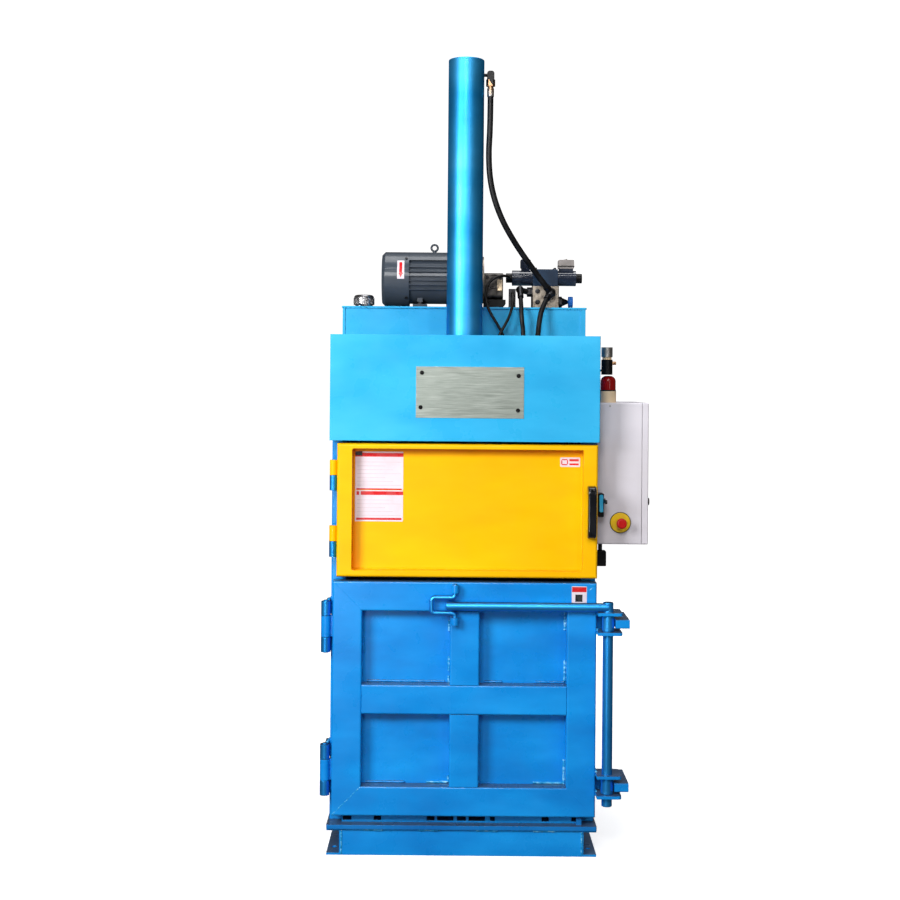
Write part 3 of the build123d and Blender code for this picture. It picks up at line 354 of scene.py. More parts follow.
hose_cover = moulded("hose_cover", (0.003, 0.003, 0.0035), (0.014, 0.014, 0.015), (0.3, 0.5))
cable_cover = moulded("cable_cover", (0.003, 0.0025, 0.0025), (0.012, 0.010, 0.009), (0.35, 0.5))
black_plastic = moulded(
    "fitting_black", (0.003, 0.003, 0.0035), (0.010, 0.010, 0.011), (0.25, 0.4), shine=0.2
)
handle_plastic = moulded(
    "handle_black", (0.003, 0.0035, 0.005), (0.010, 0.011, 0.014), (0.14, 0.24), edge=0.003,
    coat=0.6,
)
red_plastic = moulded("button_red", (0.50, 0.004, 0.004), (0.42, 0.012, 0.01), (0.3, 0.42))
yellow_plastic = moulded("collar_yellow", (0.95, 0.62, 0.01), (0.80, 0.52, 0.03), (0.3, 0.45))
cream_plastic = moulded("lamp_cream", (0.86, 0.66, 0.43), (0.72, 0.56, 0.38), (0.35, 0.5))
grey_plastic = moulded("plug_grey", (0.34, 0.31, 0.30), (0.22, 0.20, 0.19), (0.35, 0.5))
blue_plastic = moulded("knob_blue", (0.004, 0.10, 0.42), (0.01, 0.14, 0.46), (0.25, 0.4))
valve_paint = moulded(
    "valve_paint", (0.002, 0.02, 0.055), (0.008, 0.035, 0.08), (0.3, 0.5), edge=0.002
)
coil_navy = moulded(
    "coil_navy", (0.012, 0.018, 0.035), (0.05, 0.06, 0.085), (0.12, 0.22), coat=0.8, shine=0.45
)
lens_red = moulded("lens_red", (0.27, 0.0015, 0.0015), (0.33, 0.003, 0.003), (0.12, 0.2), coat=0.2)
print("finishes so far:", len(bpy.data.materials))

# %% [markdown]
# ## Finishes on the steelwork
# Each CAD piece keeps its shape and takes one finish. A table of finishes, with the pieces that
# wear each one, is easy to read and to change.

# %% Put the finishes on
wears = {
    lit_sky_enamel: ["front_cover", "oil_tank", "tank_lid"],
    blue_enamel: [
        "base_frame", "chamber_floor", "left_wall", "right_wall", "rear_wall",
        "left_side_frame", "right_side_frame", "crown_frame", "cylinder_head", "platen_plate",
        "platen_frame", "lower_door_frame", "lower_door_panel", "latch_brackets",
        "latch_keepers",
    ],
    shaded_shelf_enamel: ["shelf_plate"],
    bar_enamel: [
        "feed_hinge_lugs", "lower_door_hinges", "latch_shaft", "latch_handle", "catch_rod",
    ],
    cylinder_enamel: ["cylinder_tube"],
    yellow_enamel: ["feed_door"],
    cabinet_enamel: ["control_box", "control_box_door"],
    motor_enamel: ["motor_body", "fan_cover"],
    brushed_plate: ["nameplate"],
    plated_steel: ["hex_bolts"],
    chrome: ["breather_cap", "piston_rod"],
    dark_steel: ["hose_fittings", "piston", "motor_shaft", "relief_valve", "switch_lever"],
    cast_alloy: ["shaft_coupling", "bell_housing", "manifold_block"],
    pump_cast: ["gear_pump"],
    black_plastic: ["nameplate_rivets", "motor_fan", "box_lock", "position_switches"],
    handle_plastic: ["feed_handle"],
    red_plastic: ["stop_button"],
    yellow_plastic: ["stop_collar"],
    cream_plastic: ["lamp_base"],
    lens_red: ["lamp_dome"],
    blue_plastic: ["relief_knob"],
    valve_paint: ["valve_body"],
    coil_navy: ["solenoids"],
}
for finish, names in wears.items():
    for name in names:
        machine[name].data.materials.clear()
        machine[name].data.materials.append(finish)
print("finished nodes:", sum(len(names) for names in wears.values()))

# %% [markdown]
# ## Two finishes on one piece
# Some CAD pieces are a group of parts in different metals, such as the hose fittings. Their faces
# are given a second finish by place: each face whose middle lies in a box takes it. The boxes are
# given by their low and high corners, and the last finish that a face is given stays.

# %% Second finishes
second_finishes = {
    "tray recess": (
        "feed_door", tray_enamel, (-0.3125, -0.3295, 0.7925), (0.3325, -0.2895, 1.1325)
    ),
    "pump foot": ("gear_pump", black_plastic, (0, 0, 1.50), (0.2, 0.3, 1.5795)),
    "port nut": ("hose_fittings", brass, (0.05, -0.03, 2.195), (0.10, 0.03, 2.219)),
    "hose sleeve": ("hose_fittings", plated_steel, (0.05, -0.03, 2.10), (0.10, 0.03, 2.195)),
    "port elbow": ("hose_fittings", black_plastic, (0.04, -0.05, 2.219), (0.12, 0.05, 2.28)),
    "right coil plug": ("solenoids", grey_plastic, (0.29, 0.10, 1.6765), (0.36, 0.26, 1.72)),
    "left coil end": ("solenoids", black_plastic, (0.12, 0.10, 1.60), (0.151, 0.26, 1.70)),
    "right coil end": ("solenoids", black_plastic, (0.3495, 0.10, 1.60), (0.38, 0.26, 1.70)),
    "switch cap": ("position_switches", plated_steel, (0.36, -0.26, 1.392), (0.44, -0.21, 1.43)),
    "switch neck": (
        "position_switches", cream_plastic, (0.36, -0.26, 1.385), (0.44, -0.21, 1.3935)
    ),
    "switch stud": ("position_switches", brass, (0.4195, -0.26, 1.36), (0.45, -0.21, 1.39)),
    "motor foot bolts": ("hex_bolts", dark_steel, (-0.20, 0.10, 1.54), (0.0, 0.33, 1.60)),
}
for part, (node, finish, low, high) in second_finishes.items():
    mesh = machine[node].data
    if finish.name not in mesh.materials:
        mesh.materials.append(finish)
    index = mesh.materials.find(finish.name)
    inside = [
        face for face in mesh.polygons
        if all(low[i] <= face.center[i] <= high[i] for i in range(3))
    ]
    for face in inside:
        face.material_index = index
    print(part, "of", node, "has", len(inside), "faces in", finish.name)

# %% [markdown]
# ## The hoses and cables
# Three rubber hoses and two thin cables join the pump, the valve and the cylinder. A hose is one
# smooth curve. A NURBS curve with the route's own corner points as control points never kinks, and
# a round bevel gives it its thickness. Each one is listed with its real length, which is printed,
# and takes the place of the plain tube in the CAD model.

# %% The routes: radius, length, stiffness and corner points
routes = {
    "main_hose": (
        0.009, 0.630, "medium",
        [(0.073, 0, 2.180), (0.073, 0, 2.090), (0.068, 0.002, 2.000), (0.076, 0.008, 1.910),
         (0.104, 0.022, 1.825), (0.146, 0.042, 1.752), (0.202, 0.072, 1.676),
         (0.252, 0.103, 1.616)],
    ),
    "lower_hose": (
        0.008, 0.326, "medium",
        [(0.254, 0.102, 1.577), (0.238, 0.082, 1.548), (0.229, 0.070, 1.502),
         (0.225, 0.052, 1.458), (0.213, 0.030, 1.418), (0.182, 0.009, 1.385),
         (0.136, 0, 1.366), (0.090, 0, 1.366)],
    ),
    "return_hose": (
        0.007, 0.147, "medium",
        [(0.174, 0.106, 1.582), (0.175, 0.084, 1.554), (0.176, 0.072, 1.514),
         (0.182, 0.078, 1.474), (0.182, 0.078, 1.444)],
    ),
    "long_cable": (
        0.0045, 0.321, "limp",
        [(0.140, 0.162, 1.647), (0.140, 0.142, 1.647), (0.128, 0.122, 1.650),
         (0.106, 0.112, 1.648), (0.080, 0.108, 1.634), (0.067, 0.102, 1.608),
         (0.065, 0.091, 1.574), (0.078, 0.080, 1.534), (0.104, 0.076, 1.494),
         (0.123, 0.076, 1.460), (0.123, 0.076, 1.428)],
    ),
    "short_cable": (
        0.0045, 0.229, "limp",
        [(0.150, 0.158, 1.598), (0.150, 0.134, 1.598), (0.151, 0.110, 1.584),
         (0.149, 0.088, 1.556), (0.138, 0.070, 1.520), (0.121, 0.060, 1.488),
         (0.104, 0.058, 1.458), (0.104, 0.058, 1.428)],
    ),
}


# %% Lay the hoses
def lay_cord(name, radius, length, stiffness, points):
    """A round cord along a route, on the frame, in place of the CAD tube of that name."""
    is_hose = stiffness == "medium"
    line = bpy.data.curves.new(name + "_line", "CURVE")
    line.dimensions = "3D"
    line.bevel_depth = radius
    line.bevel_resolution = 6
    line.use_fill_caps = True
    spline = line.splines.new("NURBS")
    spline.points.add(len(points) - 1)
    for point, place in zip(spline.points, points):
        point.co = (*place, 1)
    spline.order_u = 3
    spline.use_endpoint_u = True
    spline.resolution_u = 10
    piece = bpy.data.objects.new(name + "_laid", line)
    bpy.context.scene.collection.objects.link(piece)
    line.materials.append(hose_cover if is_hose else cable_cover)
    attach(piece, "frame")
    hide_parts(name)
    print(name, "laid,", length, "m long and", 2000 * radius, "mm thick")


for name, (radius, length, stiffness, points) in routes.items():
    lay_cord(name, radius, length, stiffness, points)

# %% [markdown]
# ## Modelling helpers
# The small things that the frame leaves out are modelled here with Blender's own tools: a
# primitive is added at its place, changed in edit mode, and finished. Each finished piece has its
# place in its mesh and rides on a body of the machine, so that it moves with the doors.

# %% Helpers for new pieces
SQUARELY = 0.9


def shaping():
    """Into edit mode, with everything selected."""
    bpy.ops.object.mode_set(mode="EDIT")
    bpy.ops.mesh.select_mode(type="VERT")
    bpy.ops.mesh.select_all(action="SELECT")


def pick(kind, test):
    """Selects the edges or faces of the active piece whose middle passes a test."""
    bpy.ops.object.mode_set(mode="EDIT")
    bpy.ops.mesh.select_mode(type=kind)
    bpy.ops.mesh.select_all(action="DESELECT")
    bpy.ops.object.mode_set(mode="OBJECT")
    mesh = bpy.context.object.data
    if kind == "FACE":
        found = [(face, face.center) for face in mesh.polygons]
    else:
        ends = [[mesh.vertices[i].co for i in edge.vertices] for edge in mesh.edges]
        found = [(edge, (a + b) / 2) for edge, (a, b) in zip(mesh.edges, ends)]
    for element, middle in found:
        element.select = bool(test(middle, element))
    bpy.ops.object.mode_set(mode="EDIT")


def pick_facing(axis, sign, least_area=0.0):
    """Selects the faces that look squarely along an axis and are larger than an area."""
    pick("FACE", lambda middle, face: (
        sign * face.normal[axis] > SQUARELY and face.area > least_area
    ))


def settle(name, finish, body, smooth=35):
    """Finishes the active piece: name, place, finish, shading and the body that it rides on."""
    bpy.ops.object.mode_set(mode="OBJECT")
    piece = bpy.context.object
    bpy.ops.object.transform_apply(location=True, rotation=True, scale=True)
    piece.name = piece.data.name = name
    if finish is not None:
        piece.data.materials.clear()
        piece.data.materials.append(finish)
    bpy.ops.object.shade_smooth_by_angle(angle=math.radians(smooth))
    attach(piece, body)
    piece.select_set(False)
    return piece


def gather(pieces, name):
    """Joins pieces that ride on one body into one object."""
    bpy.ops.object.select_all(action="DESELECT")
    for piece in pieces:
        piece.select_set(True)
    bpy.context.view_layer.objects.active = pieces[0]
    bpy.ops.object.join()
    joined = bpy.context.object
    joined.name = joined.data.name = name
    joined.select_set(False)
    print(name, "gathers", len(pieces), "pieces,", len(joined.data.polygons), "faces")


# %% [markdown]
# ## Weld beads
# Every joint of the doors is welded and then painted over. A real bead is a small uneven ridge in
# the corner. It starts as a thin cylinder along the joint. Its long edges are subdivided into
# rings, and the rings are pushed about at random, always with the same seed. The bright finish of a
# bead is a painted highlight: a blue with pale specks that stands for the light its lumps catch.

# %% A weld bead
# The bright weld finish: blue with pale specks, a painted highlight.
weld_highlight_enamel = enamel(
    "weld_highlight_enamel", (0.002, 0.20, 0.52), (0.02, 0.36, 0.72), (0.30, 0.72, 0.95),
    gloss=(0.15, 0.3), wave=0.0, peel=0.0002, edge=0.0005, cloud_size=55,
)
RING_SPACING = 0.005
UNEVENNESS = 0.42


def weld_bead(start, end, radius, seed, finish=weld_highlight_enamel, body="lower_door"):
    """An uneven bead from one point to another; the seed decides its lumps."""
    start, end = Vector(start), Vector(end)
    line = end - start
    bpy.ops.object.select_all(action="DESELECT")
    bpy.ops.mesh.primitive_cylinder_add(
        vertices=8, radius=radius, depth=line.length, location=(start + end) / 2,
        rotation=line.to_track_quat("Z", "Y").to_euler(),
    )
    inside_ends = line.length / 2 - 0.0001
    pick("EDGE", lambda middle, edge: abs(middle.z) < inside_ends)
    bpy.ops.mesh.subdivide(number_cuts=max(2, int(line.length / RING_SPACING)))
    shaping()
    bpy.ops.transform.vertex_random(offset=radius * UNEVENNESS, seed=seed)
    return settle("bead", finish, body, 80)


# %% [markdown]
# ## Welds in the door's pockets
# Short beads hold the panel inside the four pockets of the lower door, mostly along their right and
# lower sides. Some take the bright weld finish, a painted highlight, and some are as dull as the
# door.

# %% Weld the pockets
panel_y = -0.2875
left_pocket = (-0.2785, -0.0385)
right_pocket = (0.0485, 0.2865)
upper_sill, lower_sill = 0.4785, 0.1955
# bright is the weld finish with its painted highlight.
bright, dull = weld_highlight_enamel, blue_enamel
upright_radius, level_radius = 0.0034, 0.0032
upright_welds = [
    (left_pocket[1], 0.620, 0.650, bright),
    (left_pocket[1], 0.508, 0.548, bright),
    (left_pocket[1], 0.476, 0.495, bright),
    (right_pocket[1], 0.625, 0.679, bright),
    (right_pocket[1], 0.480, 0.540, bright),
    (right_pocket[1], 0.193, 0.262, bright),
    (left_pocket[1], 0.196, 0.214, bright),
    (left_pocket[0], 0.560, 0.600, dull),
    (right_pocket[0], 0.300, 0.340, dull),
]
level_welds = [
    (upper_sill, -0.268, -0.050, dull),
    (upper_sill, 0.060, 0.110, dull),
    (upper_sill, 0.205, 0.284, dull),
    (lower_sill, -0.270, -0.160, dull),
    (lower_sill, -0.100, -0.042, bright),
    (lower_sill, 0.200, 0.284, bright),
]
door_beads = []
for x, z0, z1, coat in upright_welds:
    start, end = (x, panel_y, z0), (x, panel_y, z1)
    door_beads.append(weld_bead(start, end, upright_radius, len(door_beads), coat))
for z, x0, x1, coat in level_welds:
    start, end = (x0, panel_y, z), (x1, panel_y, z)
    door_beads.append(weld_bead(start, end, level_radius, len(door_beads), coat))
gather(door_beads, "pocket_welds")

# %% [markdown]
# ## Seams and latch welds of the door
# The door's tubes meet in mitred corners. Their seams are ground, so these beads are thin and just
# break the face. Two of them take the bright weld finish, a painted highlight. Round the latch
# plates and the catch the beads are fat, with the same painted highlight.

# %% Weld the mitres and the latch plates
seam_y, seam_radius, seam_seed = -0.3286, 0.0018, 40
mitres = [
    ((-0.359, 0.115), (-0.283, 0.191), bright), ((0.367, 0.115), (0.291, 0.191), dull),
    ((-0.359, 0.759), (-0.283, 0.683), dull), ((0.367, 0.759), (0.291, 0.683), bright),
]
seams = []
for (x0, z0), (x1, z1), coat in mitres:
    start, end = (x0, seam_y, z0), (x1, seam_y, z1)
    seams.append(weld_bead(start, end, seam_radius, seam_seed + len(seams), coat))
gather(seams, "mitre_seams")

plate_x, plate_front, plate_rear = 0.3725, -0.328, -0.296
plate_bottoms, under, over = (0.624, 0.678, 0.175, 0.2295), -0.0005, 0.009
catch_y, catch_half = -0.3305, 0.006
catch_corners = ((-0.030, 0.657), (-0.016, 0.657), (-0.030, 0.748), (-0.016, 0.748))
plate_radius, catch_radius, latch_seed = 0.0035, 0.003, 60
runs = [
    ((plate_x, plate_front, z), (plate_x, plate_rear, z), plate_radius)
    for bottom in plate_bottoms for z in (bottom + under, bottom + over)
]
runs += [
    ((x, catch_y, z - catch_half), (x, catch_y, z + catch_half), catch_radius)
    for x, z in catch_corners
]
gather([
    weld_bead(*run, latch_seed + number) for number, run in enumerate(runs)
], "latch_welds")

# %% [markdown]
# ## Welds of the body
# The hinge knuckles are welded to the left post with fat beads above and below. The shelf is
# welded on the base beam in short runs, the beam's ends are closed by upright beads, and each rib
# of the side frames has short beads where it meets the posts.

# %% Weld the body
# These beads take the bright weld finish, a painted highlight.
body_seed = 90
hinge_plates, beside = ((0.561, 0.703), (0.161, 0.303)), 0.001
shelf_runs, shelf_run, shelf_y, shelf_z = (-0.28, -0.12, 0.04, 0.20), 0.06, -0.3235, 0.0722
beam_ends, beam_y, beam_low, beam_high = (-0.3345, 0.3345), -0.3222, 0.004, 0.070
rib_tops = [z + 0.0502 for z in (0.300, 0.560, 0.820, 1.080, 1.320)]
post_faces, rib_runs, rib_run = (-0.2165, 0.2705), (0.340, 0.362), 0.008

runs = [
    ((-0.379, -0.290, z), (-0.373, -0.240, z), 0.004)
    for bottom, top in hinge_plates for z in (bottom - beside, top + beside)
]
runs += [((x, shelf_y, shelf_z), (x + shelf_run, shelf_y, shelf_z), 0.0035) for x in shelf_runs]
runs += [((x, beam_y, beam_low), (x, beam_y, beam_high), 0.0024) for x in beam_ends]
runs += [
    ((side * x, y, z), (side * (x + rib_run), y, z), 0.003)
    for side in (-1, 1) for z in rib_tops for y in post_faces for x in rib_runs
]
gather([
    weld_bead(*run, body_seed + number, body="frame") for number, run in enumerate(runs)
], "body_welds")

# %% [markdown]
# ## Stickers
# The doors carry printed foil stickers. They are left without words: plain white fields with
# coloured bands. Each is a thin plane with rounded corners. Bisect cuts it along the edges of the
# printed fields, the faces of a field get its colour, and Solidify gives the foil its thickness.

# %% Printed foil
FOIL_THICKNESS = 0.0006
FOIL_CORNER = 0.0025


def foil(name, colour, worn):
    """The finish of smooth printed foil."""
    return moulded(name, colour, worn, (0.2, 0.34), grain=60, height=0.00001, edge=0.0002)


white_foil = foil("white_foil", (0.80, 0.72, 0.79), (0.70, 0.61, 0.67))
red_foil = foil("red_foil", (0.66, 0.012, 0.016), (0.60, 0.06, 0.06))
grey_foil = foil("grey_foil", (0.62, 0.54, 0.60), (0.70, 0.62, 0.68))
black_foil = foil("black_foil", (0.02, 0.02, 0.022), (0.06, 0.06, 0.06))


def cut_at(places, axis):
    """Cuts the active piece across one axis at each place."""
    normal = [1.0 if i == axis else 0.0 for i in range(3)]
    for place in places:
        shaping()
        point = [place if i == axis else 0.0 for i in range(3)]
        bpy.ops.mesh.bisect(plane_co=point, plane_no=normal)


def sticker(name, x0, x1, z0, z1, y, fields, body):
    """fields is a list of (x0, x1, z0, z1, foil), as distances from the lower left corner."""
    bpy.ops.object.select_all(action="DESELECT")
    bpy.ops.mesh.primitive_plane_add(size=1)
    bpy.context.object.scale = (x1 - x0, z1 - z0, 1)
    bpy.ops.object.transform_apply(scale=True)
    shaping()
    bpy.ops.mesh.bevel(offset=FOIL_CORNER, segments=3, affect="VERTICES")
    bpy.ops.transform.rotate(value=-math.pi / 2, orient_axis="X", center_override=(0, 0, 0))
    bpy.ops.transform.translate(value=((x0 + x1) / 2, y, (z0 + z1) / 2))
    cut_at(sorted({x0 + a for f in fields for a in f[:2] if 0 < a < x1 - x0}), 0)
    cut_at(sorted({z0 + a for f in fields for a in f[2:4] if 0 < a < z1 - z0}), 2)
    bpy.ops.object.mode_set(mode="OBJECT")
    piece = bpy.context.object
    piece.data.materials.append(white_foil)
    for face in piece.data.polygons:
        x, z = face.center.x - x0, face.center.z - z0
        for a0, a1, b0, b1, ink in fields:
            if a0 < x < a1 and b0 < z < b1:
                if ink.name not in piece.data.materials:
                    piece.data.materials.append(ink)
                face.material_index = piece.data.materials.find(ink.name)
    shaping()
    bpy.ops.mesh.normals_make_consistent(inside=False)
    bpy.ops.object.mode_set(mode="OBJECT")
    thick = piece.modifiers.new("thick", "SOLIDIFY")
    thick.thickness = FOIL_THICKNESS
    thick.offset = 0
    bpy.ops.object.modifier_apply(modifier="thick")
    settle(name, None, body)
    print(name, round(1000 * (x1 - x0)), "x", round(1000 * (z1 - z0)), "mm,", len(fields), "fields")


# %% Stickers on the doors
def plain_rules(width, low, high, count):
    """Pale rules of three lengths across a field, with a margin at each end."""
    margin, shorter, thickness = 0.006, 0.022, 0.0016
    step = (high - low) / count
    return [
        (margin, width - margin - shorter * (i % 3),
         low + i * step, low + i * step + thickness, grey_foil)
        for i in range(count)
    ]


tray_y, door_face_y = -0.2904, -0.3304
wide_left, wide_right = -0.306, -0.171
wide = 0.135
sticker(
    "upper_tray_sticker", wide_left, wide_right, 1.0145, 1.122, tray_y,
    [(0.0, wide, 0.093, 0.1035, red_foil), (0.0, 0.020, 0.096, 0.1075, black_foil),
     (0.004, 0.131, 0.0, 0.004, red_foil), *plain_rules(wide, 0.012, 0.088, 7)],
    "feed_door",
)
sticker(
    "lower_tray_sticker", wide_left, wide_right, 0.926, 1.0135, tray_y,
    [(0.016, wide, 0.074, 0.0845, red_foil), (0.004, 0.012, 0.074, 0.084, red_foil),
     (0.004, 0.131, 0.004, 0.010, red_foil), *plain_rules(wide, 0.016, 0.070, 5)],
    "feed_door",
)
small_bars = [(0.026, 0.052, 0.016, 0.022), (0.026, 0.052, 0.005, 0.010)]
small_frame = [
    (0.005, 0.020, 0.019, 0.022), (0.005, 0.020, 0.005, 0.008),
    (0.003, 0.006, 0.008, 0.019), (0.019, 0.022, 0.008, 0.019),
]
sticker(
    "small_tray_sticker", 0.269, 0.325, 1.083, 1.110, tray_y,
    [(*field, red_foil) for field in small_bars + small_frame], "feed_door",
)
sticker(
    "door_sticker", 0.301, 0.343, 0.703, 0.754, door_face_y,
    [(0.001, 0.041, 0.035, 0.049, red_foil), (0.010, 0.030, 0.008, 0.028, black_foil)],
    "lower_door",
)

# %% [markdown]
# ## The arrow on the fan cover
# A white foil with a red arrow shows which way the motor turns. It is bent round the cover, so it
# starts as an open cylinder a little larger than the cover. Bisect with clear cuts away all but
# the label, and slanting cuts make the arrow's head.

# %% Bend the arrow foil
fan_low, fan_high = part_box("fan_cover")
motor_y = (fan_low.y + fan_high.y) / 2
motor_z = (fan_low.z + fan_high.z) / 2
fan_radius = (fan_high.y - fan_low.y) / 2


def bent_foil(name, ink, radius, cuts):
    """An open cylinder along X round the motor's axis, cut down by planes (point, normal)."""
    bpy.ops.object.select_all(action="DESELECT")
    bpy.ops.mesh.primitive_cylinder_add(
        vertices=160, radius=radius, depth=0.08, end_fill_type="NOTHING",
        location=(-0.2, motor_y, motor_z), rotation=(0, math.pi / 2, 0),
    )
    bpy.ops.object.transform_apply(location=True, rotation=True)
    for point, normal in cuts:
        shaping()
        bpy.ops.mesh.bisect(plane_co=point, plane_no=normal, clear_outer=True)
    settle(name, ink, "frame", smooth=80)


arrow_x, arrow_tip, arrow_neck, arrow_tail = -0.198, 1.643, 1.657, 1.691
front_cut = ((0, motor_y, 0), (0, 1, 0))


def field_cuts(half_width, z0, z1):
    """The planes that leave a field of the cover's front, centred on the arrow's line."""
    left, right = arrow_x - half_width, arrow_x + half_width
    return [
        front_cut, ((left, 0, 0), (-1, 0, 0)), ((right, 0, 0), (1, 0, 0)),
        ((0, 0, z0), (0, 0, -1)), ((0, 0, z1), (0, 0, 1)),
    ]


tip = (arrow_x, 0, arrow_tip)
white_radius, red_radius = fan_radius + 0.0006, fan_radius + 0.0010
bent_foil("arrow_foil", white_foil, white_radius, field_cuts(0.011, 1.638, 1.696))
bent_foil("arrow_stem", red_foil, red_radius, field_cuts(0.0045, arrow_neck, arrow_tail))
bent_foil("arrow_head", red_foil, red_radius, [
    front_cut, ((0, 0, arrow_neck), (0, 0, 1)), (tip, (-0.87, 0, -0.5)), (tip, (0.87, 0, -0.5)),
])
print("arrow foil at radius", round(white_radius, 4))

# %% [markdown]
# ## Small screws
# Covers and blocks are held by socket screws. One head is modelled: a short cylinder gets a
# bevelled rim, its top is inset, and the inner face is sunk for the key. The others are copies,
# each with its own mesh, moved to their places.

# %% A screw head and its copies
RIM_SHARE, WALL_SHARE, KEY_SHARE = 0.14, 0.42, 0.5


def screw_head(name, radius, height, finish, place, axis):
    """A socket screw's head that stands on a place and looks along an axis."""
    bpy.ops.object.select_all(action="DESELECT")
    bpy.ops.mesh.primitive_cylinder_add(vertices=18, radius=radius, depth=height)
    pick_facing(2, 1)
    bpy.ops.mesh.bevel(offset=RIM_SHARE * height, segments=2, affect="EDGES")
    pick_facing(2, 1, least_area=radius * radius)
    bpy.ops.mesh.inset(thickness=WALL_SHARE * radius, depth=0)
    bpy.ops.mesh.extrude_region_move(
        TRANSFORM_OT_translate={"value": (0, 0, -KEY_SHARE * height)}
    )
    bpy.ops.object.mode_set(mode="OBJECT")
    head = bpy.context.object
    turn = Vector(axis).to_track_quat("Z", "Y")
    head.rotation_euler = turn.to_euler()
    head.location = Vector(place) + turn @ Vector((0, 0, height / 2))
    return settle(name, finish, "frame")


def copy_of(piece, move):
    """A copy with its own mesh, moved by a matrix."""
    twin = piece.copy()
    twin.data = piece.data.copy()
    twin.data.transform(move)
    bpy.context.scene.collection.objects.link(twin)
    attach(twin, "frame")
    return twin


def screw_set(name, radius, height, finish, place, axis, moves):
    """A screw head with a copy for each move, as one piece."""
    head = screw_head(name, radius, height, finish, place, axis)
    gather([head] + [copy_of(head, move) for move in moves], name)


def shifts(*steps):
    return [Matrix.Translation(step) for step in steps]


# %% Screws on the valve and its block
screw_set(
    "valve_screws", 0.0042, 0.005, dark_steel, (0.223, 0.161, 1.674), (0, 0, 1),
    shifts((0.06, 0, 0), (0, 0.038, 0), (0.06, 0.038, 0)),
)
screw_set(
    "block_plugs", 0.0075, 0.004, dark_steel, (0.228, 0.140, 1.604), (0, -1, 0),
    shifts((0, 0, -0.034)),
)

# %% [markdown]
# ## Screws of the motor and the cabinet
# Four screws hold the fan cover, a quarter turn apart and the first one at 45 degrees. A quarter
# turn about the motor's own axis is three moves in one matrix: to the origin, round, and back. The
# terminal box on the motor's rear has four more, in a plain rectangle, and the cabinet has one.

# %% Screw the fan cover on
middle = Vector((0, motor_y, motor_z))
HALF_DIAGONAL = 0.7071
aslant = fan_radius * HALF_DIAGONAL
quarter_turns = [
    Matrix.Translation(middle) @ Matrix.Rotation(math.radians(angle), 4, "X")
    @ Matrix.Translation(-middle)
    for angle in (90, 180, 270)
]
screw_set(
    "fan_cover_screws", 0.0045, 0.003, dark_steel,
    (-0.181, motor_y - aslant, motor_z + aslant), (0, -HALF_DIAGONAL, HALF_DIAGONAL),
    quarter_turns,
)

# %% Screws of the terminal box and the cabinet
screw_set(
    "terminal_box_screws", 0.004, 0.003, plated_steel, (-0.143, 0.332, 1.683), (0, 1, 0),
    shifts((0.086, 0, 0), (0, 0, -0.074), (0.086, 0, -0.074)),
)
screw_head(
    "cabinet_screw", 0.0026, 0.0015, plated_steel, (0.4117, -0.256, 1.2545), (0, -1, 0)
)

# %% [markdown]
# ## The pump's tag, its screws and the plug's seal
# The pump carries a bare brown tag, and three of the screws that clamp its body are in view. The
# grey plug on the right coil is split by a dark seal and held by one screw. Tag and seal are boxes
# with bevelled corners. The tag's face is inset and sunk, which leaves a raised border.

# %% A plate with a raised border
def stamped_plate(name, low, high, corner, border, finish, across):
    """A thin plate between two corners, across one axis; border is its raised rim's width."""
    low, high = Vector(low), Vector(high)
    centre = (low + high) / 2
    bpy.ops.object.select_all(action="DESELECT")
    bpy.ops.mesh.primitive_cube_add(size=1, location=centre)
    bpy.context.object.scale = high - low
    bpy.ops.object.transform_apply(location=True, scale=True)
    pick("EDGE", lambda middle, edge: abs(middle[across] - centre[across]) < 0.00001)
    bpy.ops.mesh.bevel(offset=corner, segments=4, affect="EDGES")
    if border:
        pick_facing(across, -1)
        bpy.ops.mesh.inset(thickness=border, depth=-0.0003)
    plate = settle(name, finish, "frame")
    print(name, [round(1000 * v, 1) for v in high - low], "mm,", len(plate.data.polygons), "faces")


stamped_plate(
    "pump_tag", (0.103, 0.1565, 1.606), (0.119, 0.1585, 1.640), 0.002, 0.0012, tag_steel, 1
)
stamped_plate(
    "plug_seal", (0.2932, 0.1592, 1.6835), (0.3448, 0.2008, 1.6857), 0.004, 0, black_plastic, 2
)
screw_set(
    "pump_screws", 0.005, 0.005, dark_steel, (0.072, 0.164, 1.648), (0, -1, 0),
    shifts((0.040, 0, 0), (0, 0, -0.056)),
)
screw_head("plug_screw", 0.0042, 0.0035, plated_steel, (0.319, 0.18, 1.705), (0, 0, 1))

# %% [markdown]
# ## The stop button's rim and the lamp's collar
# A black ring lies round the foot of the yellow collar against the cabinet, painted shade for the
# dark rim there, and a black ring holds the red lens on its foot. Both are thin rings that are
# stretched along their axis, so that they read as moulded rings and not as wire.

# %% Rings
def dark_ring(name, centre, radius, thickness, stretch, axis):
    """A ring round an axis, made wider along it by a stretch."""
    bpy.ops.object.select_all(action="DESELECT")
    bpy.ops.mesh.primitive_torus_add(
        major_segments=64, minor_segments=10, major_radius=radius, minor_radius=thickness
    )
    shaping()
    bpy.ops.transform.resize(value=(1, 1, stretch))
    bpy.ops.object.mode_set(mode="OBJECT")
    ring = bpy.context.object
    ring.rotation_euler = Vector(axis).to_track_quat("Z", "Y").to_euler()
    ring.location = centre
    settle(name, black_plastic, "frame", smooth=60)
    print(name, "is", round(2000 * radius, 1), "mm wide")


collar_low, collar_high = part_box("stop_collar")
stop_centre = (collar_low + collar_high) / 2
cabinet_face_y = -0.2585
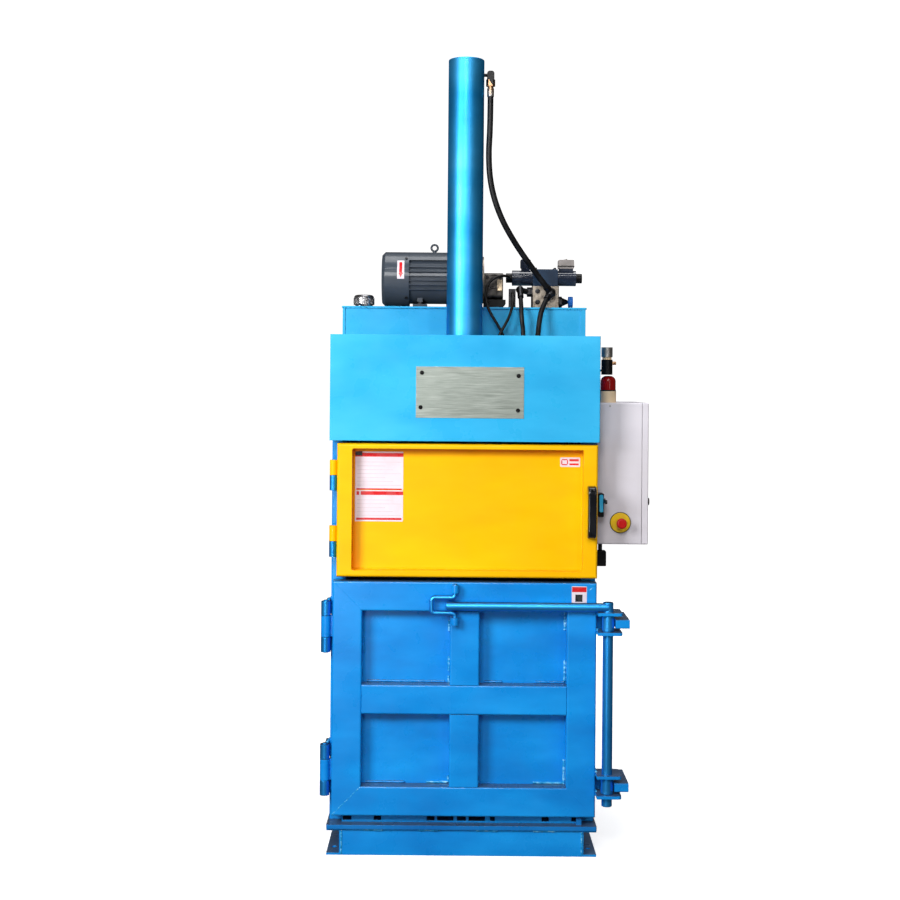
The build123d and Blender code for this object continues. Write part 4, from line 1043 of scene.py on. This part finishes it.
# A black ring round the collar's foot: painted shade for its dark rim.
dark_ring(
    "stop_shade_ring", (stop_centre.x, cabinet_face_y, stop_centre.z), 0.0283, 0.0016, 1.6, (0, 1, 0)
)
lens_low, lens_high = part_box("lamp_dome")
lens_x = (lens_low.x + lens_high.x) / 2
lens_y = (lens_low.y + lens_high.y) / 2
dark_ring("lens_ring", (lens_x, lens_y, lens_low.z + 0.001), 0.0213, 0.0014, 1.5, (0, 0, 1))

# %% [markdown]
# ## The face of the feed door's switch
# The limit switch is black, with a blue cover in front. The cover is a thin plate with round
# corners: a box is scaled to size, its edges along Y are bevelled wide and the front rim narrow,
# and the front is inset and pushed in a little, where the lid of the real one is.

# %% Model the switch cover
cover_place, cover_size = Vector((0.3845, -0.2995, 0.982)), (0.011, 0.003, 0.050)
corner_round, rim_round, lid_border, lid_depth = 0.005, 0.0008, 0.002, 0.0006
bpy.ops.object.select_all(action="DESELECT")
bpy.ops.mesh.primitive_cube_add(size=1, location=cover_place)
bpy.context.object.scale = cover_size
bpy.ops.object.transform_apply(location=True, scale=True)
pick("EDGE", lambda middle, edge: abs(middle.y - cover_place.y) < 0.0001)
bpy.ops.mesh.bevel(offset=corner_round, segments=5, affect="EDGES")
pick_facing(1, -1)
bpy.ops.mesh.bevel(offset=rim_round, segments=2, affect="EDGES")
pick_facing(1, -1, least_area=0.0001)
bpy.ops.mesh.inset(thickness=lid_border, depth=-lid_depth)
switch_cover = settle("switch_cover", lit_sky_enamel, "frame")
print("switch cover:", len(switch_cover.data.polygons), "faces")

# %% [markdown]
# ## The ribbed breather cap
# Hands turn the cap on the tank, so its wall is ribbed. A cylinder gets a rounded top by bevel,
# every second face of its wall is extruded outwards for the ribs, and the top is inset and sunk to
# a shallow dish. Its lower face is inset and extruded down to the lid for the neck. It stands for
# the plain cap of the frame.

# %% Model the breather cap
cap_low, cap_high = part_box("breather_cap")
cap_x, cap_y = (cap_low.x + cap_high.x) / 2, (cap_low.y + cap_high.y) / 2
cap_radius = (cap_high.x - cap_low.x) / 2
hood_height, hood_round, rib_height = 0.031, 0.010, 0.0014
dish_border, dish_depth, neck_inset = 0.005, 0.0015, 0.006
neck_length = cap_high.z - cap_low.z - hood_height
bpy.ops.object.select_all(action="DESELECT")
bpy.ops.mesh.primitive_cylinder_add(
    vertices=72, radius=cap_radius - 0.0015, depth=hood_height,
    location=(cap_x, cap_y, cap_high.z - hood_height / 2),
)
bpy.ops.object.transform_apply(location=True)
pick_facing(2, 1)
bpy.ops.mesh.bevel(offset=hood_round, segments=6, affect="EDGES")
pick("FACE", lambda middle, face: abs(face.normal.z) < 0.1 and face.index % 2 == 0)
bpy.ops.mesh.extrude_faces_move(TRANSFORM_OT_shrink_fatten={"value": rib_height})
pick_facing(2, 1, least_area=0.0008)
bpy.ops.mesh.inset(thickness=dish_border, depth=-dish_depth)
pick_facing(2, -1)
bpy.ops.mesh.inset(thickness=neck_inset, depth=0)
bpy.ops.mesh.extrude_region_move(TRANSFORM_OT_translate={"value": (0, 0, -neck_length)})
breather = settle("ribbed_breather", chrome, "frame", 30)
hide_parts("breather_cap")
print("breather cap:", len(breather.data.polygons), "faces")

# %% [markdown]
# ## Floor and backdrop
# The machine stands in a wide white bowl: a disc whose rim is pulled up and rounded, so that no
# horizon shows from any side. The bowl glows, and less so near the machine, where soft shadows
# ground it. It doesn't show in the gloss of the paint, and the round cylinder keeps its dark edges.

# %% Build the bowl
bowl_radius, bowl_height, bowl_fold = 10, 12, 3.5
shadow_reach, near_glow, far_glow = 5, 0.55, 0.95
pale, pale_tree, pale_shader = new_finish("pale_floor")
pale_shader.inputs["Base Color"].default_value = (0.86, 0.86, 0.86, 1)
pale_shader.inputs["Roughness"].default_value = 0.9
pale_shader.inputs["Emission Color"].default_value = (1, 1, 1, 1)
floor_place = pale_tree.nodes.new("ShaderNodeTexCoord")
floor_scale = pale_tree.nodes.new("ShaderNodeMapping")
floor_scale.inputs["Scale"].default_value = [1 / shadow_reach] * 3
from_middle = pale_tree.nodes.new("ShaderNodeTexGradient")
from_middle.gradient_type = "SPHERICAL"
pale_tree.links.new(floor_place.outputs["Object"], floor_scale.inputs["Vector"])
pale_tree.links.new(floor_scale.outputs["Vector"], from_middle.inputs["Vector"])
glow = remapped(pale_tree, from_middle.outputs["Fac"], (0, 1), (far_glow, near_glow))
pale_tree.links.new(glow, pale_shader.inputs["Emission Strength"])

bpy.ops.object.select_all(action="DESELECT")
bpy.ops.mesh.primitive_circle_add(vertices=96, radius=bowl_radius, fill_type="NGON")
bowl = bpy.context.object
bowl.name = "white_bowl"
bpy.ops.object.mode_set(mode="EDIT")
bpy.ops.mesh.select_mode(type="EDGE")
bpy.ops.mesh.select_all(action="SELECT")
bpy.ops.mesh.extrude_edges_move(TRANSFORM_OT_translate={"value": (0, 0, bowl_height)})
bpy.ops.object.mode_set(mode="OBJECT")
fold = bowl.modifiers.new("fold", "BEVEL")
fold.width = bowl_fold
fold.segments = 12
bpy.ops.object.modifier_apply(modifier="fold")
bpy.ops.object.shade_smooth()
bowl.data.materials.append(pale)
bowl.visible_glossy = False
bowl.visible_diffuse = False
bowl.visible_shadow = False
bowl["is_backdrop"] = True
print("bowl:", 2 * bowl_radius, "m wide,", len(bowl.data.polygons), "faces")

# %% [markdown]
# ## Light
# A weak warm sky fills the shadows. A soft key light close by on the upper left makes that side
# brighter, and a large one in front lights the doors. A tall strip on the right draws the bright
# line on the cylinder, a small low lamp the ones on the latch bars, and a narrow ridge light those
# on the motor and the coils. The top light falls on the tank, and one behind opens up the rear.

# %% Hang the lights
world = bpy.data.worlds.new("studio")
world.use_nodes = True
bpy.context.scene.world = world
sky = world.node_tree.nodes["Background"]
sky.inputs["Color"].default_value = (0.9, 0.86, 0.82, 1)
sky.inputs["Strength"].default_value = 0.11


def soft_light(name, place, aim, size, power):
    """A rectangular lamp that shines from a place to an aim, with a power in watts."""
    bpy.ops.object.light_add(type="AREA", location=place)
    lamp = bpy.context.object
    lamp.name = name
    lamp.data.shape = "RECTANGLE"
    lamp.data.size, lamp.data.size_y = size
    lamp.data.energy = power
    lamp.visible_camera = False
    lamp.rotation_euler = (Vector(aim) - Vector(place)).to_track_quat("-Z", "Y").to_euler()
    return lamp


soft_light("key", (-1.7, -2.3, 1.9), (0, 0, 0.8), (0.9, 0.9), 70)
soft_light("strip", (1.9, -4.4, 2.2), (0, 0, 1.7), (0.3, 2.6), 20)
soft_light("front", (-0.3, -4.4, 3.2), (0, 0, 0.8), (1.2, 1.2), 72)
soft_light("low", (-1.1, -3.9, 0.45), (0.1, 0, 0.4), (0.5, 0.5), 17)
soft_light("top", (0, 0.2, 4.4), (0, 0, 1.5), (1.8, 1.8), 54)
soft_light("ridge", (0.1, -2.5, 4.2), (0.1, 0.1, 1.6), (1.8, 0.12), 14)
rear = soft_light("rear", (1.8, 3.6, 2.8), (0, 0, 1.0), (2.0, 2.0), 110)
rear.visible_glossy = False

# %% [markdown]
# ## The size
# The size of the dressed machine is printed, with the bowl left out.

# %% Print the size
low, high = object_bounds()
print("size", [round(v, 4) for v in low], [round(v, 4) for v in high])
